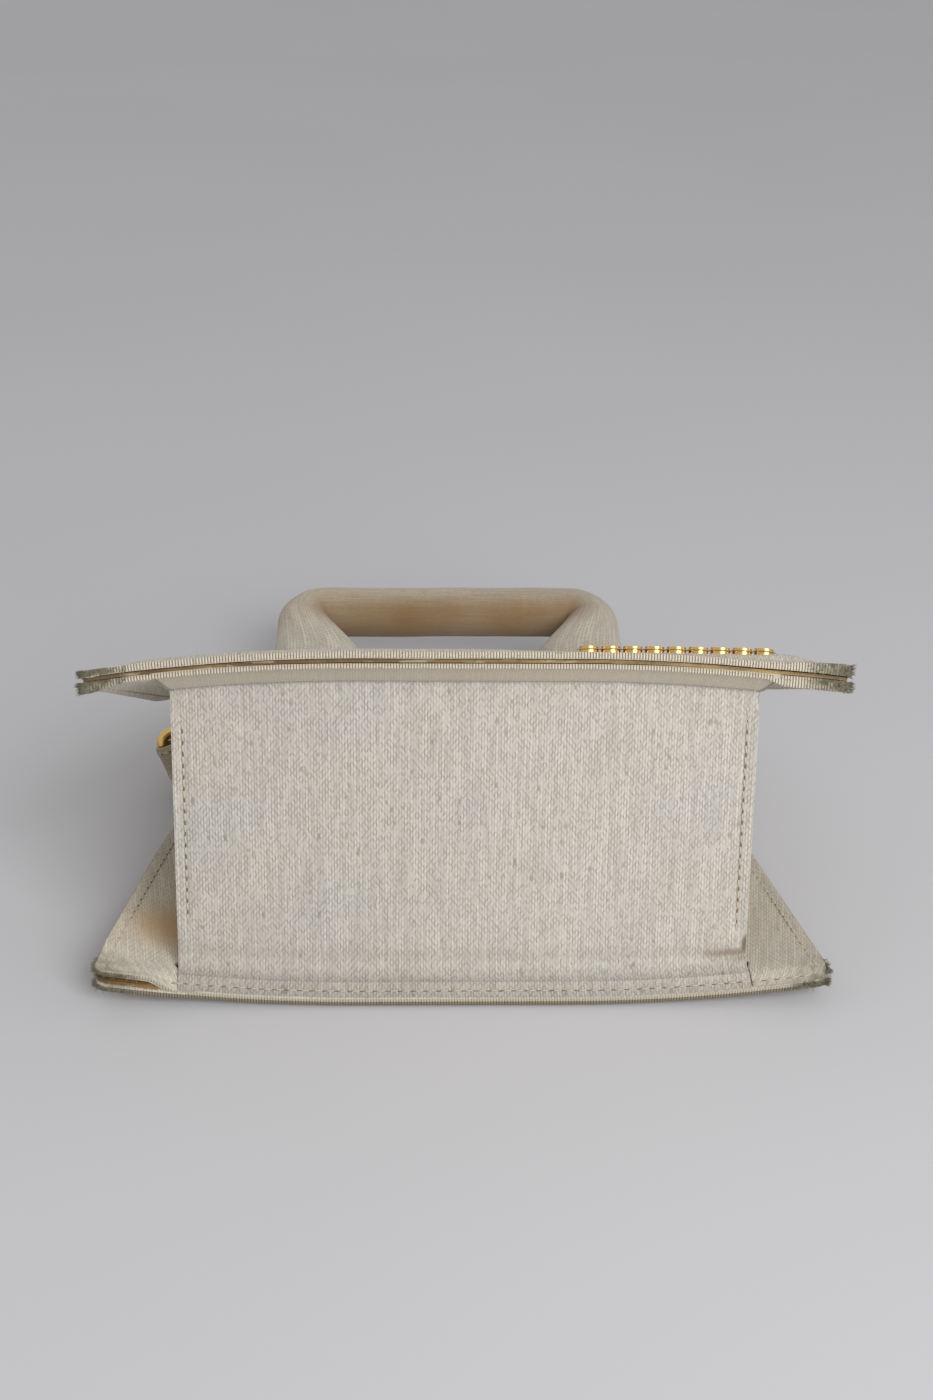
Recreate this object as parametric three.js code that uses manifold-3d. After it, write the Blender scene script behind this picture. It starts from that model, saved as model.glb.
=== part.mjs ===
// A small top handle bag in linen canvas, lying on its back.
// It is drawn standing: +X to the right seen from the front, +Y to the back, +Z up,
// z = 0 at the bottom edge of the panels. The last lines lay it on its back panel.
// Sizes are in millimetres.

import * as THREE from 'three';
import { mergeVertices } from 'three/addons/utils/BufferGeometryUtils.js';
import Module from 'manifold-3d';

const wasm = await Module();
wasm.setup();

const { degToRad, lerp, smoothstep } = THREE.MathUtils;

// Body
const clearance = 0.3;
const bodyHeight = 130;
const bottomWidth = 180;
const topWidth = 138;
const frontDepth = 45.6;
const backDepth = 44.3;
const frontTilt = degToRad(18.2);
const backTilt = degToRad(9.8);

// The lower corners of both panels curl in, the middle stays flat and the bow fades upward
const edgeBow = 5;
const flatHalfWidth = 25;
const bowAtTop = 0.3;

// Layers of a panel, from the outside in
const coverThickness = 1.5;
const boardThickness = 0.8;
const flangeThickness = 1.2;
const liningThickness = 0.8;
const boardInset = 0.6;

// Base and gussets
const baseHeight = 8;
const baseWidth = 140;
const gussetTopWidth = 124;
const foldInsetFront = 3;
const foldInsetBack = 1.6;
const flangeFlareFront = 3.5;
const flangeFlareBack = 0.8;
const seamMargin = 8;
const baseBoardThickness = 1.5;
const unionLap = 0.2;

// Mouth in the front panel, and the flap over it
const mouthWidth = 112;
const mouthBottom = 92;
const mouthCorner = 10;
const flapWidth = 132;
const flapBottom = 56;
const flapCorner = 12;
const flapCoverThickness = 1.2;
const flapBoardThickness = 0.5;
const flapLiningThickness = 0.7;
const magnetRadius = 7;
const magnetHeight = 66;

// Strip along the top
const stripCoverThickness = 1.3;
const stripBoardThickness = 1;

// Handle: an arch with upright outer edges, whose legs widen inward to the strip
const handleWidth = 111;
const handleRise = 66.5;
const handleRadius = 8;
const handleFootAcross = 14.6;
const handleFootDepth = 7.7;
const handleCorner = 9;
const handleLean = degToRad(16.3);
const flareBottom = 23;
const flareTop = 56;
const handleForward = 1.5;
const handleSkin = 1.4;
const handleSink = 6;
const handleSides = 16;

// Screws that hold the handle from under the strip
const screwRadius = 1.6;
const screwLength = 17;
const screwHeadRadius = 3.2;
const screwHeadHeight = 2;
const screwHeadBevel = 0.7;
const washerRadius = 5;
const washerThickness = 0.8;

// Tab and ring on each side
const tabHeight = 106;
const tabWidth = 10.5;
const tabThickness = 1.2;
const ringRod = 1.6;
const ringReach = 13;
const ringCorner = 2.4;
const ringBarOut = 21;
const ringSides = 8;
const upperPlyRise = 1.5;
const plyLift = 0.8;
const pinSlack = 0.8;
const loopHang = 2.4;
const tabTrim = 2.8;
const tabDroop = degToRad(24);

// Slip pocket on the back wall
const pocketWidth = 84;
const pocketBottom = 36;
const pocketTop = 88;
const pocketThickness = 0.9;

// Row of plain studs at the lower right of the front, ending a margin short of its side edge
const studCount = 9;
const studPitch = 5.3;
const studMargin = 14.9;
const studHeight = 18;
const studRadius = 2.35;
const studThickness = 1.9;
const studChamfer = 0.35;

const canvas = new THREE.MeshStandardMaterial({ color: 0xcfc6b4, roughness: 0.95 });
const suede = new THREE.MeshStandardMaterial({ color: 0xd9cfbd, roughness: 1 });
const board = new THREE.MeshStandardMaterial({ color: 0xa07a3c, roughness: 0.9 });
const foam = new THREE.MeshStandardMaterial({ color: 0xe8e2d2, roughness: 0.9 });
const gold = new THREE.MeshStandardMaterial({ color: 0xd8a84a, roughness: 0.25, metalness: 1 });
const steel = new THREE.MeshStandardMaterial({ color: 0x9a9ca0, roughness: 0.4, metalness: 1 });

const bag = new THREE.Group();

function addPart(name, geometry, material, parent = bag) {
  const mesh = new THREE.Mesh(geometry, material.clone());
  mesh.name = name;
  parent.add(mesh);
  return mesh;
}

// Closed bodies and what is done with them

function bodyFrom(points, faces) {
  const geometry = new THREE.BufferGeometry();
  geometry.setAttribute('position', new THREE.Float32BufferAttribute(points.flat(), 3));
  const [a, b, c] = [new THREE.Vector3(), new THREE.Vector3(), new THREE.Vector3()];
  let volume = 0;
  for (const [i, j, k] of faces) {
    a.fromArray(points[i]);
    b.fromArray(points[j]);
    c.fromArray(points[k]);
    volume += a.dot(b.cross(c));
  }
  const outward = volume > 0 ? faces : faces.map(([i, j, k]) => [i, k, j]);
  geometry.setIndex(outward.flat());
  return geometry;
}

function toSolid(geometry) {
  const bare = new THREE.BufferGeometry();
  bare.setAttribute('position', geometry.getAttribute('position'));
  bare.setIndex(geometry.getIndex());
  const merged = mergeVertices(bare, 1e-4);
  return new wasm.Manifold(new wasm.Mesh({
    numProp: 3,
    vertProperties: new Float32Array(merged.getAttribute('position').array),
    triVerts: new Uint32Array(merged.getIndex().array),
  }));
}

function toGeometry(solid) {
  const { vertProperties, triVerts } = solid.getMesh();
  const geometry = new THREE.BufferGeometry();
  geometry.setAttribute('position', new THREE.Float32BufferAttribute(vertProperties, 3));
  geometry.setIndex(Array.from(triVerts));
  return geometry;
}

function join(...geometries) {
  return toGeometry(geometries.map(toSolid).reduce((all, next) => all.add(next)));
}

function cut(geometry, ...tools) {
  return toGeometry(tools.map(toSolid).reduce((left, tool) => left.subtract(tool), toSolid(geometry)));
}

function common(geometry, tool) {
  return toGeometry(toSolid(geometry).intersect(toSolid(tool)));
}

// The two panels: how wide they are, and where their faces lie

function halfWidth(z) {
  return lerp(bottomWidth, topWidth, z / bodyHeight) / 2;
}

function gussetHalf(z) {
  return lerp(baseWidth, gussetTopWidth, z / bodyHeight) / 2;
}

function bow(x, z) {
  const share = Math.max(Math.abs(x) - flatHalfWidth, 0) / (bottomWidth / 2 - flatHalfWidth);
  return edgeBow * share ** 2 * lerp(1, bowAtTop, z / bodyHeight);
}

function frontFace(x, z, inset = 0) {
  return z * Math.tan(frontTilt) - frontDepth + bow(x, z) + inset;
}

function backFace(x, z, inset = 0) {
  return backDepth - z * Math.tan(backTilt) - bow(x, z) - inset;
}

function steps(from, to, count) {
  return Array.from({ length: count + 1 }, (_, i) => lerp(from, to, i / count));
}

// A body between a near and a far face, over levels of z and from a left to a right edge
function slab({ levels, left, right, near, far, columns = 16 }) {
  const points = [];
  for (const face of [near, far]) {
    for (const z of levels) {
      for (const x of steps(left(z), right(z), columns)) points.push([x, face(x, z), z]);
    }
  }
  const rowLength = columns + 1;
  const rows = levels.length - 1;
  const nearAt = (row, column) => row * rowLength + column;
  const farAt = (row, column) => levels.length * rowLength + nearAt(row, column);
  const faces = [];
  const quad = (a, b, c, d) => faces.push([a, b, c], [a, c, d]);
  for (let r = 0; r < rows; r += 1) {
    for (let c = 0; c < columns; c += 1) {
      quad(nearAt(r, c), nearAt(r, c + 1), nearAt(r + 1, c + 1), nearAt(r + 1, c));
      quad(farAt(r, c), farAt(r + 1, c), farAt(r + 1, c + 1), farAt(r, c + 1));
    }
    quad(nearAt(r, 0), nearAt(r + 1, 0), farAt(r + 1, 0), farAt(r, 0));
    quad(nearAt(r, columns), farAt(r, columns), farAt(r + 1, columns), nearAt(r + 1, columns));
  }
  for (let c = 0; c < columns; c += 1) {
    quad(nearAt(0, c), farAt(0, c), farAt(0, c + 1), nearAt(0, c + 1));
    quad(nearAt(rows, c), nearAt(rows, c + 1), farAt(rows, c + 1), farAt(rows, c));
  }
  return bodyFrom(points, faces);
}

// The insets of sheets laid one behind the other, the first one starting at the given inset
function layersFrom(start, ...thicknesses) {
  let inset = start;
  return thicknesses.map((thickness) => {
    const layer = { outer: inset, inner: inset + thickness };
    inset += thickness + clearance;
    return layer;
  });
}

const [coverLayer, boardLayer, flangeLayer] = layersFrom(0, coverThickness, boardThickness, flangeThickness);
const liningLayer = { outer: flangeLayer.outer, inner: flangeLayer.outer + liningThickness };

function frontSheet(outline, { outer, inner }) {
  return slab({ ...outline, near: (x, z) => frontFace(x, z, outer), far: (x, z) => frontFace(x, z, inner) });
}

function backSheet(outline, { outer, inner }) {
  return slab({ ...outline, near: (x, z) => backFace(x, z, inner), far: (x, z) => backFace(x, z, outer) });
}

function panelOutline(inset) {
  return {
    levels: steps(inset, bodyHeight - inset, 6),
    left: (z) => inset - halfWidth(z),
    right: (z) => halfWidth(z) - inset,
  };
}

// A tongue seen from the front: straight sides, round lower corners, open upward
function tongue(width, bottom, top, corner) {
  const half = width / 2;
  const shape = new THREE.Shape();
  shape.moveTo(-half, top);
  shape.lineTo(-half, bottom + corner);
  shape.absarc(corner - half, bottom + corner, corner, Math.PI, 1.5 * Math.PI);
  shape.absarc(half - corner, bottom + corner, corner, 1.5 * Math.PI, 2 * Math.PI);
  shape.lineTo(half, top);
  return shape;
}

// A shape drawn in X and Z, drawn out along Y
function prism(shape, from, to) {
  const options = { depth: to - from, bevelEnabled: false, curveSegments: 6 };
  const geometry = new THREE.ExtrudeGeometry(shape, options);
  return geometry.rotateX(Math.PI / 2).translate(0, to, 0);
}

function rodAlongY(radius, x, z, length) {
  return new THREE.CylinderGeometry(radius, radius, length, 28).translate(x, 0, z);
}

function rodAlongZ(radius, x, y, bottom, top) {
  const rod = new THREE.CylinderGeometry(radius, radius, top - bottom, 16).rotateX(Math.PI / 2);
  return rod.translate(x, y, (bottom + top) / 2);
}

// Heights of the stack inside, upward from the base
const baseTop = baseHeight + flangeThickness;
const marginBottom = baseTop + clearance;
const liningBottom = marginBottom + Math.max(baseBoardThickness, flangeThickness) + clearance;

// Heights of the top strip
const stripLiningBottom = bodyHeight + clearance;
const stripBoardBottom = stripLiningBottom + liningThickness + clearance;
const stripCoverBottom = stripBoardBottom + stripBoardThickness + clearance;
const stripTop = stripCoverBottom + stripCoverThickness;
const stripMiddle = (frontFace(0, stripTop) + backFace(0, stripTop)) / 2;

// Back panel
addPart('back_cover', backSheet(panelOutline(0), coverLayer), canvas);
addPart('back_board', backSheet(panelOutline(boardInset), boardLayer), board);

// Front panel, with the mouth cut out of each layer and a pocket in the board for the magnet
const farOut = -bottomWidth;
const mouthCut = (growth) => prism(
  tongue(mouthWidth + 2 * growth, mouthBottom - growth, stripTop + mouthCorner, mouthCorner),
  farOut,
  stripMiddle,
);
const magnetTool = (growth) => rodAlongY(magnetRadius + growth, 0, magnetHeight, bottomWidth);
const frontBoard = frontSheet(panelOutline(boardInset), boardLayer);
addPart('front_cover', cut(frontSheet(panelOutline(0), coverLayer), mouthCut(0)), canvas);
addPart('front_board', cut(frontBoard, mouthCut(boardInset), magnetTool(clearance)), board);
addPart('front_magnet', common(frontBoard, magnetTool(0)), steel);

// Base panel: a web set up between the panels, with a flange down to each bottom edge
function baseEdge(face, z) {
  const flare = face === frontFace ? flangeFlareFront : flangeFlareBack;
  return baseWidth / 2 + flare * Math.max(1 - z / baseHeight, 0);
}

function baseFlange(face, foldInset) {
  const depth = (z) => flangeLayer.outer + foldInset * smoothstep(z, 0, baseHeight);
  const outer = (x, z) => face(x, z, depth(z));
  const inner = (x, z) => face(x, z, depth(z) + flangeThickness);
  const levels = [...steps(0, baseHeight, 4), baseTop];
  const outline = { levels, left: (z) => -baseEdge(face, z), right: (z) => baseEdge(face, z) };
  return face === frontFace
    ? slab({ ...outline, near: outer, far: inner })
    : slab({ ...outline, near: inner, far: outer });
}

const baseWeb = slab({
  levels: [baseHeight, baseTop],
  left: () => -baseWidth / 2,
  right: () => baseWidth / 2,
  near: (x, z) => frontFace(x, z, flangeLayer.outer + foldInsetFront + unionLap),
  far: (x, z) => backFace(x, z, flangeLayer.outer + foldInsetBack + unionLap),
});
addPart(
  'base_panel',
  join(baseWeb, baseFlange(frontFace, foldInsetFront), baseFlange(backFace, foldInsetBack)),
  canvas,
);

const baseBoardHalf = gussetHalf(marginBottom) - seamMargin - clearance;
addPart('base_board', slab({
  levels: [marginBottom, marginBottom + baseBoardThickness],
  left: () => -baseBoardHalf,
  right: () => baseBoardHalf,
  near: (x, z) => frontFace(x, z, flangeLayer.inner + foldInsetFront),
  far: (x, z) => backFace(x, z, flangeLayer.inner + foldInsetBack),
}), board);

// Gussets: a wall between the panels, flanges out over the wings, a margin under the base board
function gusset(side) {
  const span = (outer, inner) => (side < 0
    ? { left: (z) => -outer(z), right: (z) => -inner(z) }
    : { left: inner, right: outer });
  const innerEdge = (face) => (z) => (
    z <= baseTop ? baseEdge(face, z) + clearance : gussetHalf(z) - flangeThickness
  );
  const flangeOutline = (face) => ({
    levels: [0, baseHeight, baseTop, ...steps(marginBottom, bodyHeight, 8)],
    ...span(halfWidth, innerEdge(face)),
    columns: 4,
  });
  const wall = slab({
    levels: steps(marginBottom, bodyHeight, 8),
    ...span(gussetHalf, (z) => gussetHalf(z) - flangeThickness),
    near: (x, z) => frontFace(x, z, flangeLayer.outer + unionLap),
    far: (x, z) => backFace(x, z, flangeLayer.outer + unionLap),
    columns: 1,
  });
  const margin = slab({
    levels: [marginBottom, marginBottom + flangeThickness],
    ...span((z) => gussetHalf(z) - unionLap, (z) => gussetHalf(z) - seamMargin),
    near: (x, z) => frontFace(x, z, flangeLayer.inner),
    far: (x, z) => backFace(x, z, flangeLayer.inner),
    columns: 2,
  });
  return join(
    frontSheet(flangeOutline(frontFace), flangeLayer),
    backSheet(flangeOutline(backFace), flangeLayer),
    wall,
    margin,
  );
}

addPart('gusset_left', gusset(-1), canvas);
addPart('gusset_right', gusset(1), canvas);

// Lining: a sack that stands inside, open at the top and at the mouth
function liningHalf(z) {
  return gussetHalf(z) - flangeThickness - clearance;
}

function liningBody(levels, inset) {
  return slab({
    levels,
    left: (z) => inset - liningHalf(z),
    right: (z) => liningHalf(z) - inset,
    near: (x, z) => frontFace(x, z, liningLayer.outer + inset),
    far: (x, z) => backFace(x, z, liningLayer.outer + inset),
    columns: 14,
  });
}

const liningTop = bodyHeight - clearance;
const liningOutside = liningBody(steps(liningBottom, liningTop, 6), 0);
const liningHollow = steps(liningBottom + liningThickness, liningTop + mouthCorner, 6);
const liningInside = liningBody(liningHollow, liningThickness);
addPart('lining', cut(liningOutside, liningInside, mouthCut(0)), suede);

const [pocketLayer] = layersFrom(liningLayer.inner + clearance, pocketThickness);
addPart('inner_pocket', backSheet({
  levels: steps(pocketBottom, pocketTop, 2),
  left: () => -pocketWidth / 2,
  right: () => pocketWidth / 2,
}, pocketLayer), suede);

// Top strip: lining, board and cover laid over the top edges, with a hole for each handle screw
const handleFoot = handleWidth / 2 - handleFootAcross;
const handleMiddle = stripMiddle - handleForward;
const screwHoles = [-1, 1].map((side) => rodAlongZ(
  screwRadius + clearance,
  side * handleFoot,
  handleMiddle,
  bodyHeight - screwHeadHeight,
  stripTop + screwLength,
));

function strip(bottom, thickness, inset) {
  return cut(slab({
    levels: [bottom, bottom + thickness],
    left: () => inset - topWidth / 2,
    right: () => topWidth / 2 - inset,
    near: (x, z) => frontFace(x, z, inset),
    far: (x, z) => backFace(x, z, inset),
    columns: 16,
  }), ...screwHoles);
}

addPart('top_lining', strip(stripLiningBottom, liningThickness, 0), suede);
addPart('top_board', strip(stripBoardBottom, stripBoardThickness, boardInset), board);
addPart('top_cover', strip(stripCoverBottom, stripCoverThickness, 0), canvas);

// Flap: three layers in front of the panel, hinged along the top front edge
const flapLayers = layersFrom(clearance, flapLiningThickness, flapBoardThickness, flapCoverThickness);

function flapSheet({ outer, inner }, inset) {
  const sheet = slab({
    levels: steps(flapBottom - clearance, stripTop, 4),
    left: () => -flapWidth / 2,
    right: () => flapWidth / 2,
    near: (x, z) => frontFace(x, z, -inner),
    far: (x, z) => frontFace(x, z, -outer),
  });
  const outline = tongue(flapWidth - 2 * inset, flapBottom + inset, stripTop - inset, flapCorner);
  return common(sheet, prism(outline, farOut, stripMiddle));
}

const flapBoard = flapSheet(flapLayers[1], boardInset);
addPart('flap_lining', flapSheet(flapLayers[0], 0), suede);
addPart('flap_board', cut(flapBoard, magnetTool(clearance)), board);
addPart('flap_magnet', common(flapBoard, magnetTool(0)), steel);
addPart('flap_cover', flapSheet(flapLayers[2], 0), canvas);

// Tubes: each section is a centre and two radius vectors

function tube(sections, sides, closed) {
  const points = [];
  for (const { centre, across, depth } of sections) {
    for (let i = 0; i < sides; i += 1) {
      const angle = (2 * Math.PI * i) / sides;
      const point = centre.clone().addScaledVector(across, Math.cos(angle));
      points.push(point.addScaledVector(depth, Math.sin(angle)).toArray());
    }
  }
  const faces = [];
  const spans = closed ? sections.length : sections.length - 1;
  for (let s = 0; s < spans; s += 1) {
    const next = (s + 1) % sections.length;
    for (let i = 0; i < sides; i += 1) {
      const j = (i + 1) % sides;
      const [near, far] = [s * sides, next * sides];
      faces.push([near + i, near + j, far + j], [near + i, far + j, far + i]);
    }
  }
  if (!closed) {
    for (let i = 1; i < sides - 1; i += 1) {
      const last = (sections.length - 1) * sides;
      faces.push([0, i + 1, i], [last, last + i, last + i + 1]);
    }
  }
  return bodyFrom(points, faces);
}

// Sections along points in a plane, with the radius of each in the plane and across it
function sectionsAlong(points, closed, planeNormal, radiusAt) {
  const count = points.length;
  return points.map((centre, i) => {
    const before = points[closed ? (i + count - 1) % count : Math.max(i - 1, 0)];
    const after = points[closed ? (i + 1) % count : Math.min(i + 1, count - 1)];
    const tangent = after.clone().sub(before).normalize();
    const [inPlane, acrossPlane] = radiusAt(centre);
    return {
      centre,
      across: tangent.cross(planeNormal).multiplyScalar(inPlane),
      depth: planeNormal.clone().multiplyScalar(acrossPlane),
    };
  });
}

// Handle: the arch stands on z = 0 of its own frame, goes a little below it and is cut off on the strip
const legHeight = handleRise - handleRadius - handleCorner;
const yAxis = new THREE.Vector3(0, 1, 0);

function handleRadii(z) {
  const rise = smoothstep(z, flareBottom, flareTop);
  return [lerp(handleFootAcross, handleRadius, rise), lerp(handleFootDepth, handleRadius, rise)];
}

// One section of the arch, turned outward by an angle from the X axis, its outer edge on the arch's outline
function archSection(side, outerX, outerZ, turn, radii, shrink) {
  const outward = new THREE.Vector3(side * Math.cos(turn), 0, Math.sin(turn));
  return {
    centre: new THREE.Vector3(side * outerX, 0, outerZ).addScaledVector(outward, -radii[0]),
    across: outward.multiplyScalar(shrink - radii[0]),
    depth: yAxis.clone().multiplyScalar(radii[1] - shrink),
  };
}

function archSide(side, shrink) {
  const outerRadius = handleCorner + handleRadius;
  const leg = steps(-handleSink, legHeight, 8)
    .map((z) => archSection(side, handleWidth / 2, z, 0, handleRadii(z), shrink));
  const corner = steps(0, Math.PI / 2, 6).slice(1).map((turn) => archSection(
    side,
    handleWidth / 2 - outerRadius * (1 - Math.cos(turn)),
    legHeight + outerRadius * Math.sin(turn),
    turn,
    handleRadii(legHeight + handleCorner * Math.sin(turn)),
    shrink,
  ));
  return [...leg, ...corner];
}

const handleBase = stripTop + clearance;

function handleArch(shrink) {
  const arch = tube([...archSide(1, shrink), ...archSide(-1, shrink).reverse()], handleSides, false);
  return arch.rotateX(handleLean).translate(0, handleMiddle, handleBase);
}

function handleBody(shrink) {
  const size = 2 * bottomWidth;
  const below = new THREE.BoxGeometry(size, size, size).translate(0, 0, handleBase - size / 2);
  return cut(handleArch(shrink), below);
}

addPart('handle_cover', cut(handleBody(0), handleArch(handleSkin)), canvas);
addPart('handle_core', cut(handleBody(handleSkin + clearance), ...screwHoles), foam);

// Screws and washers under the strip
const washerTop = stripLiningBottom - clearance;
const screwProfile = [
  [0, -screwHeadHeight],
  [screwHeadRadius - screwHeadBevel, -screwHeadHeight],
  [screwHeadRadius, screwHeadBevel - screwHeadHeight],
  [screwHeadRadius, 0],
  [screwRadius, 0],
  [screwRadius, screwLength],
  [0, screwLength],
].map(([radius, z]) => new THREE.Vector2(radius, z));
const washerProfile = [
  [screwRadius + clearance, 0],
  [washerRadius, 0],
  [washerRadius, washerThickness],
  [screwRadius + clearance, washerThickness],
  [screwRadius + clearance, 0],
].map(([radius, z]) => new THREE.Vector2(radius, z));

for (const [side, word] of [[-1, 'left'], [1, 'right']]) {
  const washer = addPart(`handle_washer_${word}`, new THREE.LatheGeometry(washerProfile, 16), steel);
  const screw = addPart(`handle_screw_${word}`, new THREE.LatheGeometry(screwProfile, 12), steel);
  for (const piece of [washer, screw]) piece.rotation.x = Math.PI / 2;
  washer.position.set(side * handleFoot, handleMiddle, washerTop - washerThickness);
  screw.position.set(side * handleFoot, handleMiddle, washerTop - washerThickness - clearance);
}

// Side tabs and rings, in a frame whose X points out of the gusset.
// The tab's lower ply clears the back wing, and its loop hangs lower beyond the wing's edge
const gussetLean = Math.atan((baseWidth - gussetTopWidth) / 2 / bodyHeight);
const pinDistance = ringRod + clearance + tabThickness / 2;
const tabMiddle = (frontFace(0, tabHeight) + backFace(0, tabHeight)) / 2;
const plyLow = pinDistance + pinSlack;
const plyHigh = -upperPlyRise;

// The ring's bow lies back on the upper ply from where it crosses the tab's edge
const ringHalf = tabWidth / 2 + clearance + ringRod;
const bowReach = (ringReach - ringCorner) * Math.sqrt(1 - (tabWidth / 2 / ringHalf) ** 2);
const crossing = ringCorner + bowReach - ringRod;
const ringRest = Math.asin((upperPlyRise + pinDistance) / crossing);

// The loop in its own frame: X out of the gusset, Y through the plies, Z along the ring's bar
function tabLoop(side) {
  const middle = [
    [-tabTrim, plyLow - plyLift],
    [ringBarOut * 0.45, plyLow - plyLift / 2],
    [ringBarOut * 0.8, plyLow + loopHang],
    [ringBarOut + plyLift, plyLow + loopHang / 2],
    [ringBarOut + pinDistance, 0],
    [ringBarOut + 0.2, -pinDistance],
    [ringBarOut * 0.75, plyHigh],
    [ringBarOut * 0.4, plyHigh],
    [-tabTrim, plyHigh - plyLift / 2],
  ].map(([x, y]) => new THREE.Vector3(side * x, y, 0));
  const curve = new THREE.CatmullRomCurve3(middle, false, 'centripetal');
  const edge = (offset) => steps(0, 1, 36).map((t) => {
    const tangent = curve.getTangentAt(t);
    const point = curve.getPointAt(t);
    return new THREE.Vector2(point.x - tangent.y * offset, point.y + tangent.x * offset);
  });
  const outline = new THREE.Shape([...edge(tabThickness / 2), ...edge(-tabThickness / 2).reverse()]);
  const loop = new THREE.ExtrudeGeometry(outline, { depth: tabWidth, bevelEnabled: false });
  loop.translate(0, 0, -tabWidth / 2).rotateY(-side * tabDroop);
  const size = 4 * ringBarOut;
  const inside = new THREE.BoxGeometry(size, size, size).translate(side * (clearance - size / 2), 0, 0);
  return cut(loop, inside);
}

// The ring's bar runs along Z, and at rest its bow lies back over the tab toward the gusset
function sideRing(side) {
  const path = new THREE.Path();
  path.moveTo(0, ringCorner - ringHalf);
  path.lineTo(0, ringHalf - ringCorner);
  path.quadraticCurveTo(0, ringHalf, ringCorner, ringHalf);
  path.absellipse(ringCorner, 0, ringReach - ringCorner, ringHalf, Math.PI / 2, -Math.PI / 2, true);
  path.quadraticCurveTo(0, -ringHalf, 0, ringCorner - ringHalf);
  const points = path.getSpacedPoints(32).slice(0, -1).map(({ x, y }) => new THREE.Vector3(-side * x, 0, y));
  const sections = sectionsAlong(points, true, yAxis, () => [ringRod, ringRod]);
  return tube(sections, ringSides, true).rotateZ(side * ringRest);
}

for (const [side, word] of [[-1, 'left'], [1, 'right']]) {
  const mount = new THREE.Group();
  mount.position.set(side * gussetHalf(tabHeight), tabMiddle, tabHeight);
  mount.rotation.set(-Math.PI / 2, -side * gussetLean, 0, 'YXZ');
  bag.add(mount);
  addPart(`side_tab_${word}`, tabLoop(side), canvas, mount);
  const ring = addPart(`side_ring_${word}`, sideRing(side), gold, mount);
  ring.rotation.y = -side * tabDroop;
  ring.position.set(side * ringBarOut * Math.cos(tabDroop), 0, ringBarOut * Math.sin(tabDroop));
}

// Studs, square to the face that they sit on
const studProfile = [
  [0, 0],
  [studRadius, 0],
  [studRadius, studThickness - studChamfer],
  [studRadius - studChamfer, studThickness],
  [0, studThickness],
].map(([radius, z]) => new THREE.Vector2(radius, z));

for (let i = 0; i < studCount; i += 1) {
  const x = halfWidth(studHeight) - studMargin - (studCount - 1 - i) * studPitch;
  const stud = addPart(`front_stud_${i + 1}`, new THREE.LatheGeometry(studProfile, 14), gold);
  const slopeAcross = frontFace(x + 1, studHeight) - frontFace(x, studHeight);
  const outward = new THREE.Vector3(slopeAcross, -1, Math.tan(frontTilt)).normalize();
  stud.quaternion.setFromUnitVectors(yAxis, outward);
  stud.position.set(x, frontFace(x, studHeight), studHeight).addScaledVector(outward, clearance);
}

// Laid on its back: +X right, +Y toward the handle, +Z up out of the front,
// the back panel's flat middle on z = 0 and the footprint's middle at the origin
const part = new THREE.Group();
part.add(bag);
bag.rotation.x = -(Math.PI / 2 + backTilt);
bag.position.z = backDepth * Math.cos(backTilt);
part.updateMatrixWorld(true);
const footprint = new THREE.Box3().setFromObject(part, true);
bag.position.y = -(footprint.min.y + footprint.max.y) / 2;

export default part;
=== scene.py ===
import math
import random

import bpy
from mathutils import Matrix, Vector, noise


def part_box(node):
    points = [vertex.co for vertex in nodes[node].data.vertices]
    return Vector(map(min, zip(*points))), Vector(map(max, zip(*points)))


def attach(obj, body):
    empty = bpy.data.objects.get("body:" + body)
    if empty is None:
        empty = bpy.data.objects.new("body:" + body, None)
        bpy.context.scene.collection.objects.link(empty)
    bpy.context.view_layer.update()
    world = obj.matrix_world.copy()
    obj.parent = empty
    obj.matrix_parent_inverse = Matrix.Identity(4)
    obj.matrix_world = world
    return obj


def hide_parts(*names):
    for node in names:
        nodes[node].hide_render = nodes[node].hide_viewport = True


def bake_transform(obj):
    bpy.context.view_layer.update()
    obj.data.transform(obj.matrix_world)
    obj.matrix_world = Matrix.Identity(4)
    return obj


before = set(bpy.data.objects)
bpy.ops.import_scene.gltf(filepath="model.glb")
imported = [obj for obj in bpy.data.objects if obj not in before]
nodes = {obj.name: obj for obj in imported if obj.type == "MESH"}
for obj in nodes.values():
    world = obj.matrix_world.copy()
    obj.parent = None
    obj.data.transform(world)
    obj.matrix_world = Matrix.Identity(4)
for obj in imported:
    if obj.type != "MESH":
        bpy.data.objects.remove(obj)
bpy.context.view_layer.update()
mm = 0.001

# The bag's own sizes, as in the frame. It is described standing: x to the right, y to the back,
# z up from the bottom edge of its panels
bag = {
    "height": 130 * mm,
    "topWidth": 138 * mm,
    "frontDepth": 45.6 * mm,
    "backDepth": 44.3 * mm,
    "frontTilt": math.radians(18.2),
    "backTilt": math.radians(9.8),
    "edgeBow": 5 * mm,
    "flatHalf": 25 * mm,
    "bowAtTop": 0.3,
    "cover": 1.5 * mm,
    "board": 0.8 * mm,
    "flange": 1.2 * mm,
    "lining": 0.8 * mm,
    "gap": 0.3 * mm,
    "baseHeight": 8 * mm,
    "baseWidth": 140 * mm,
    "gussetTop": 124 * mm,
    "foldFront": 3 * mm,
    "foldBack": 1.6 * mm,
    "flareFront": 3.5 * mm,
    "flareBack": 0.8 * mm,
    "stripTop": 134 * mm,
    "handleRadius": 8 * mm,
}
bag["bottomWidth"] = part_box("back_cover")[1].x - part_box("back_cover")[0].x
bag["boardOuter"] = bag["cover"] + bag["gap"]
bag["flangeOuter"] = bag["boardOuter"] + bag["board"] + bag["gap"]
bag["flangeInner"] = bag["flangeOuter"] + bag["flange"]
hands = ((-1, "left"), (1, "right"))

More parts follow.
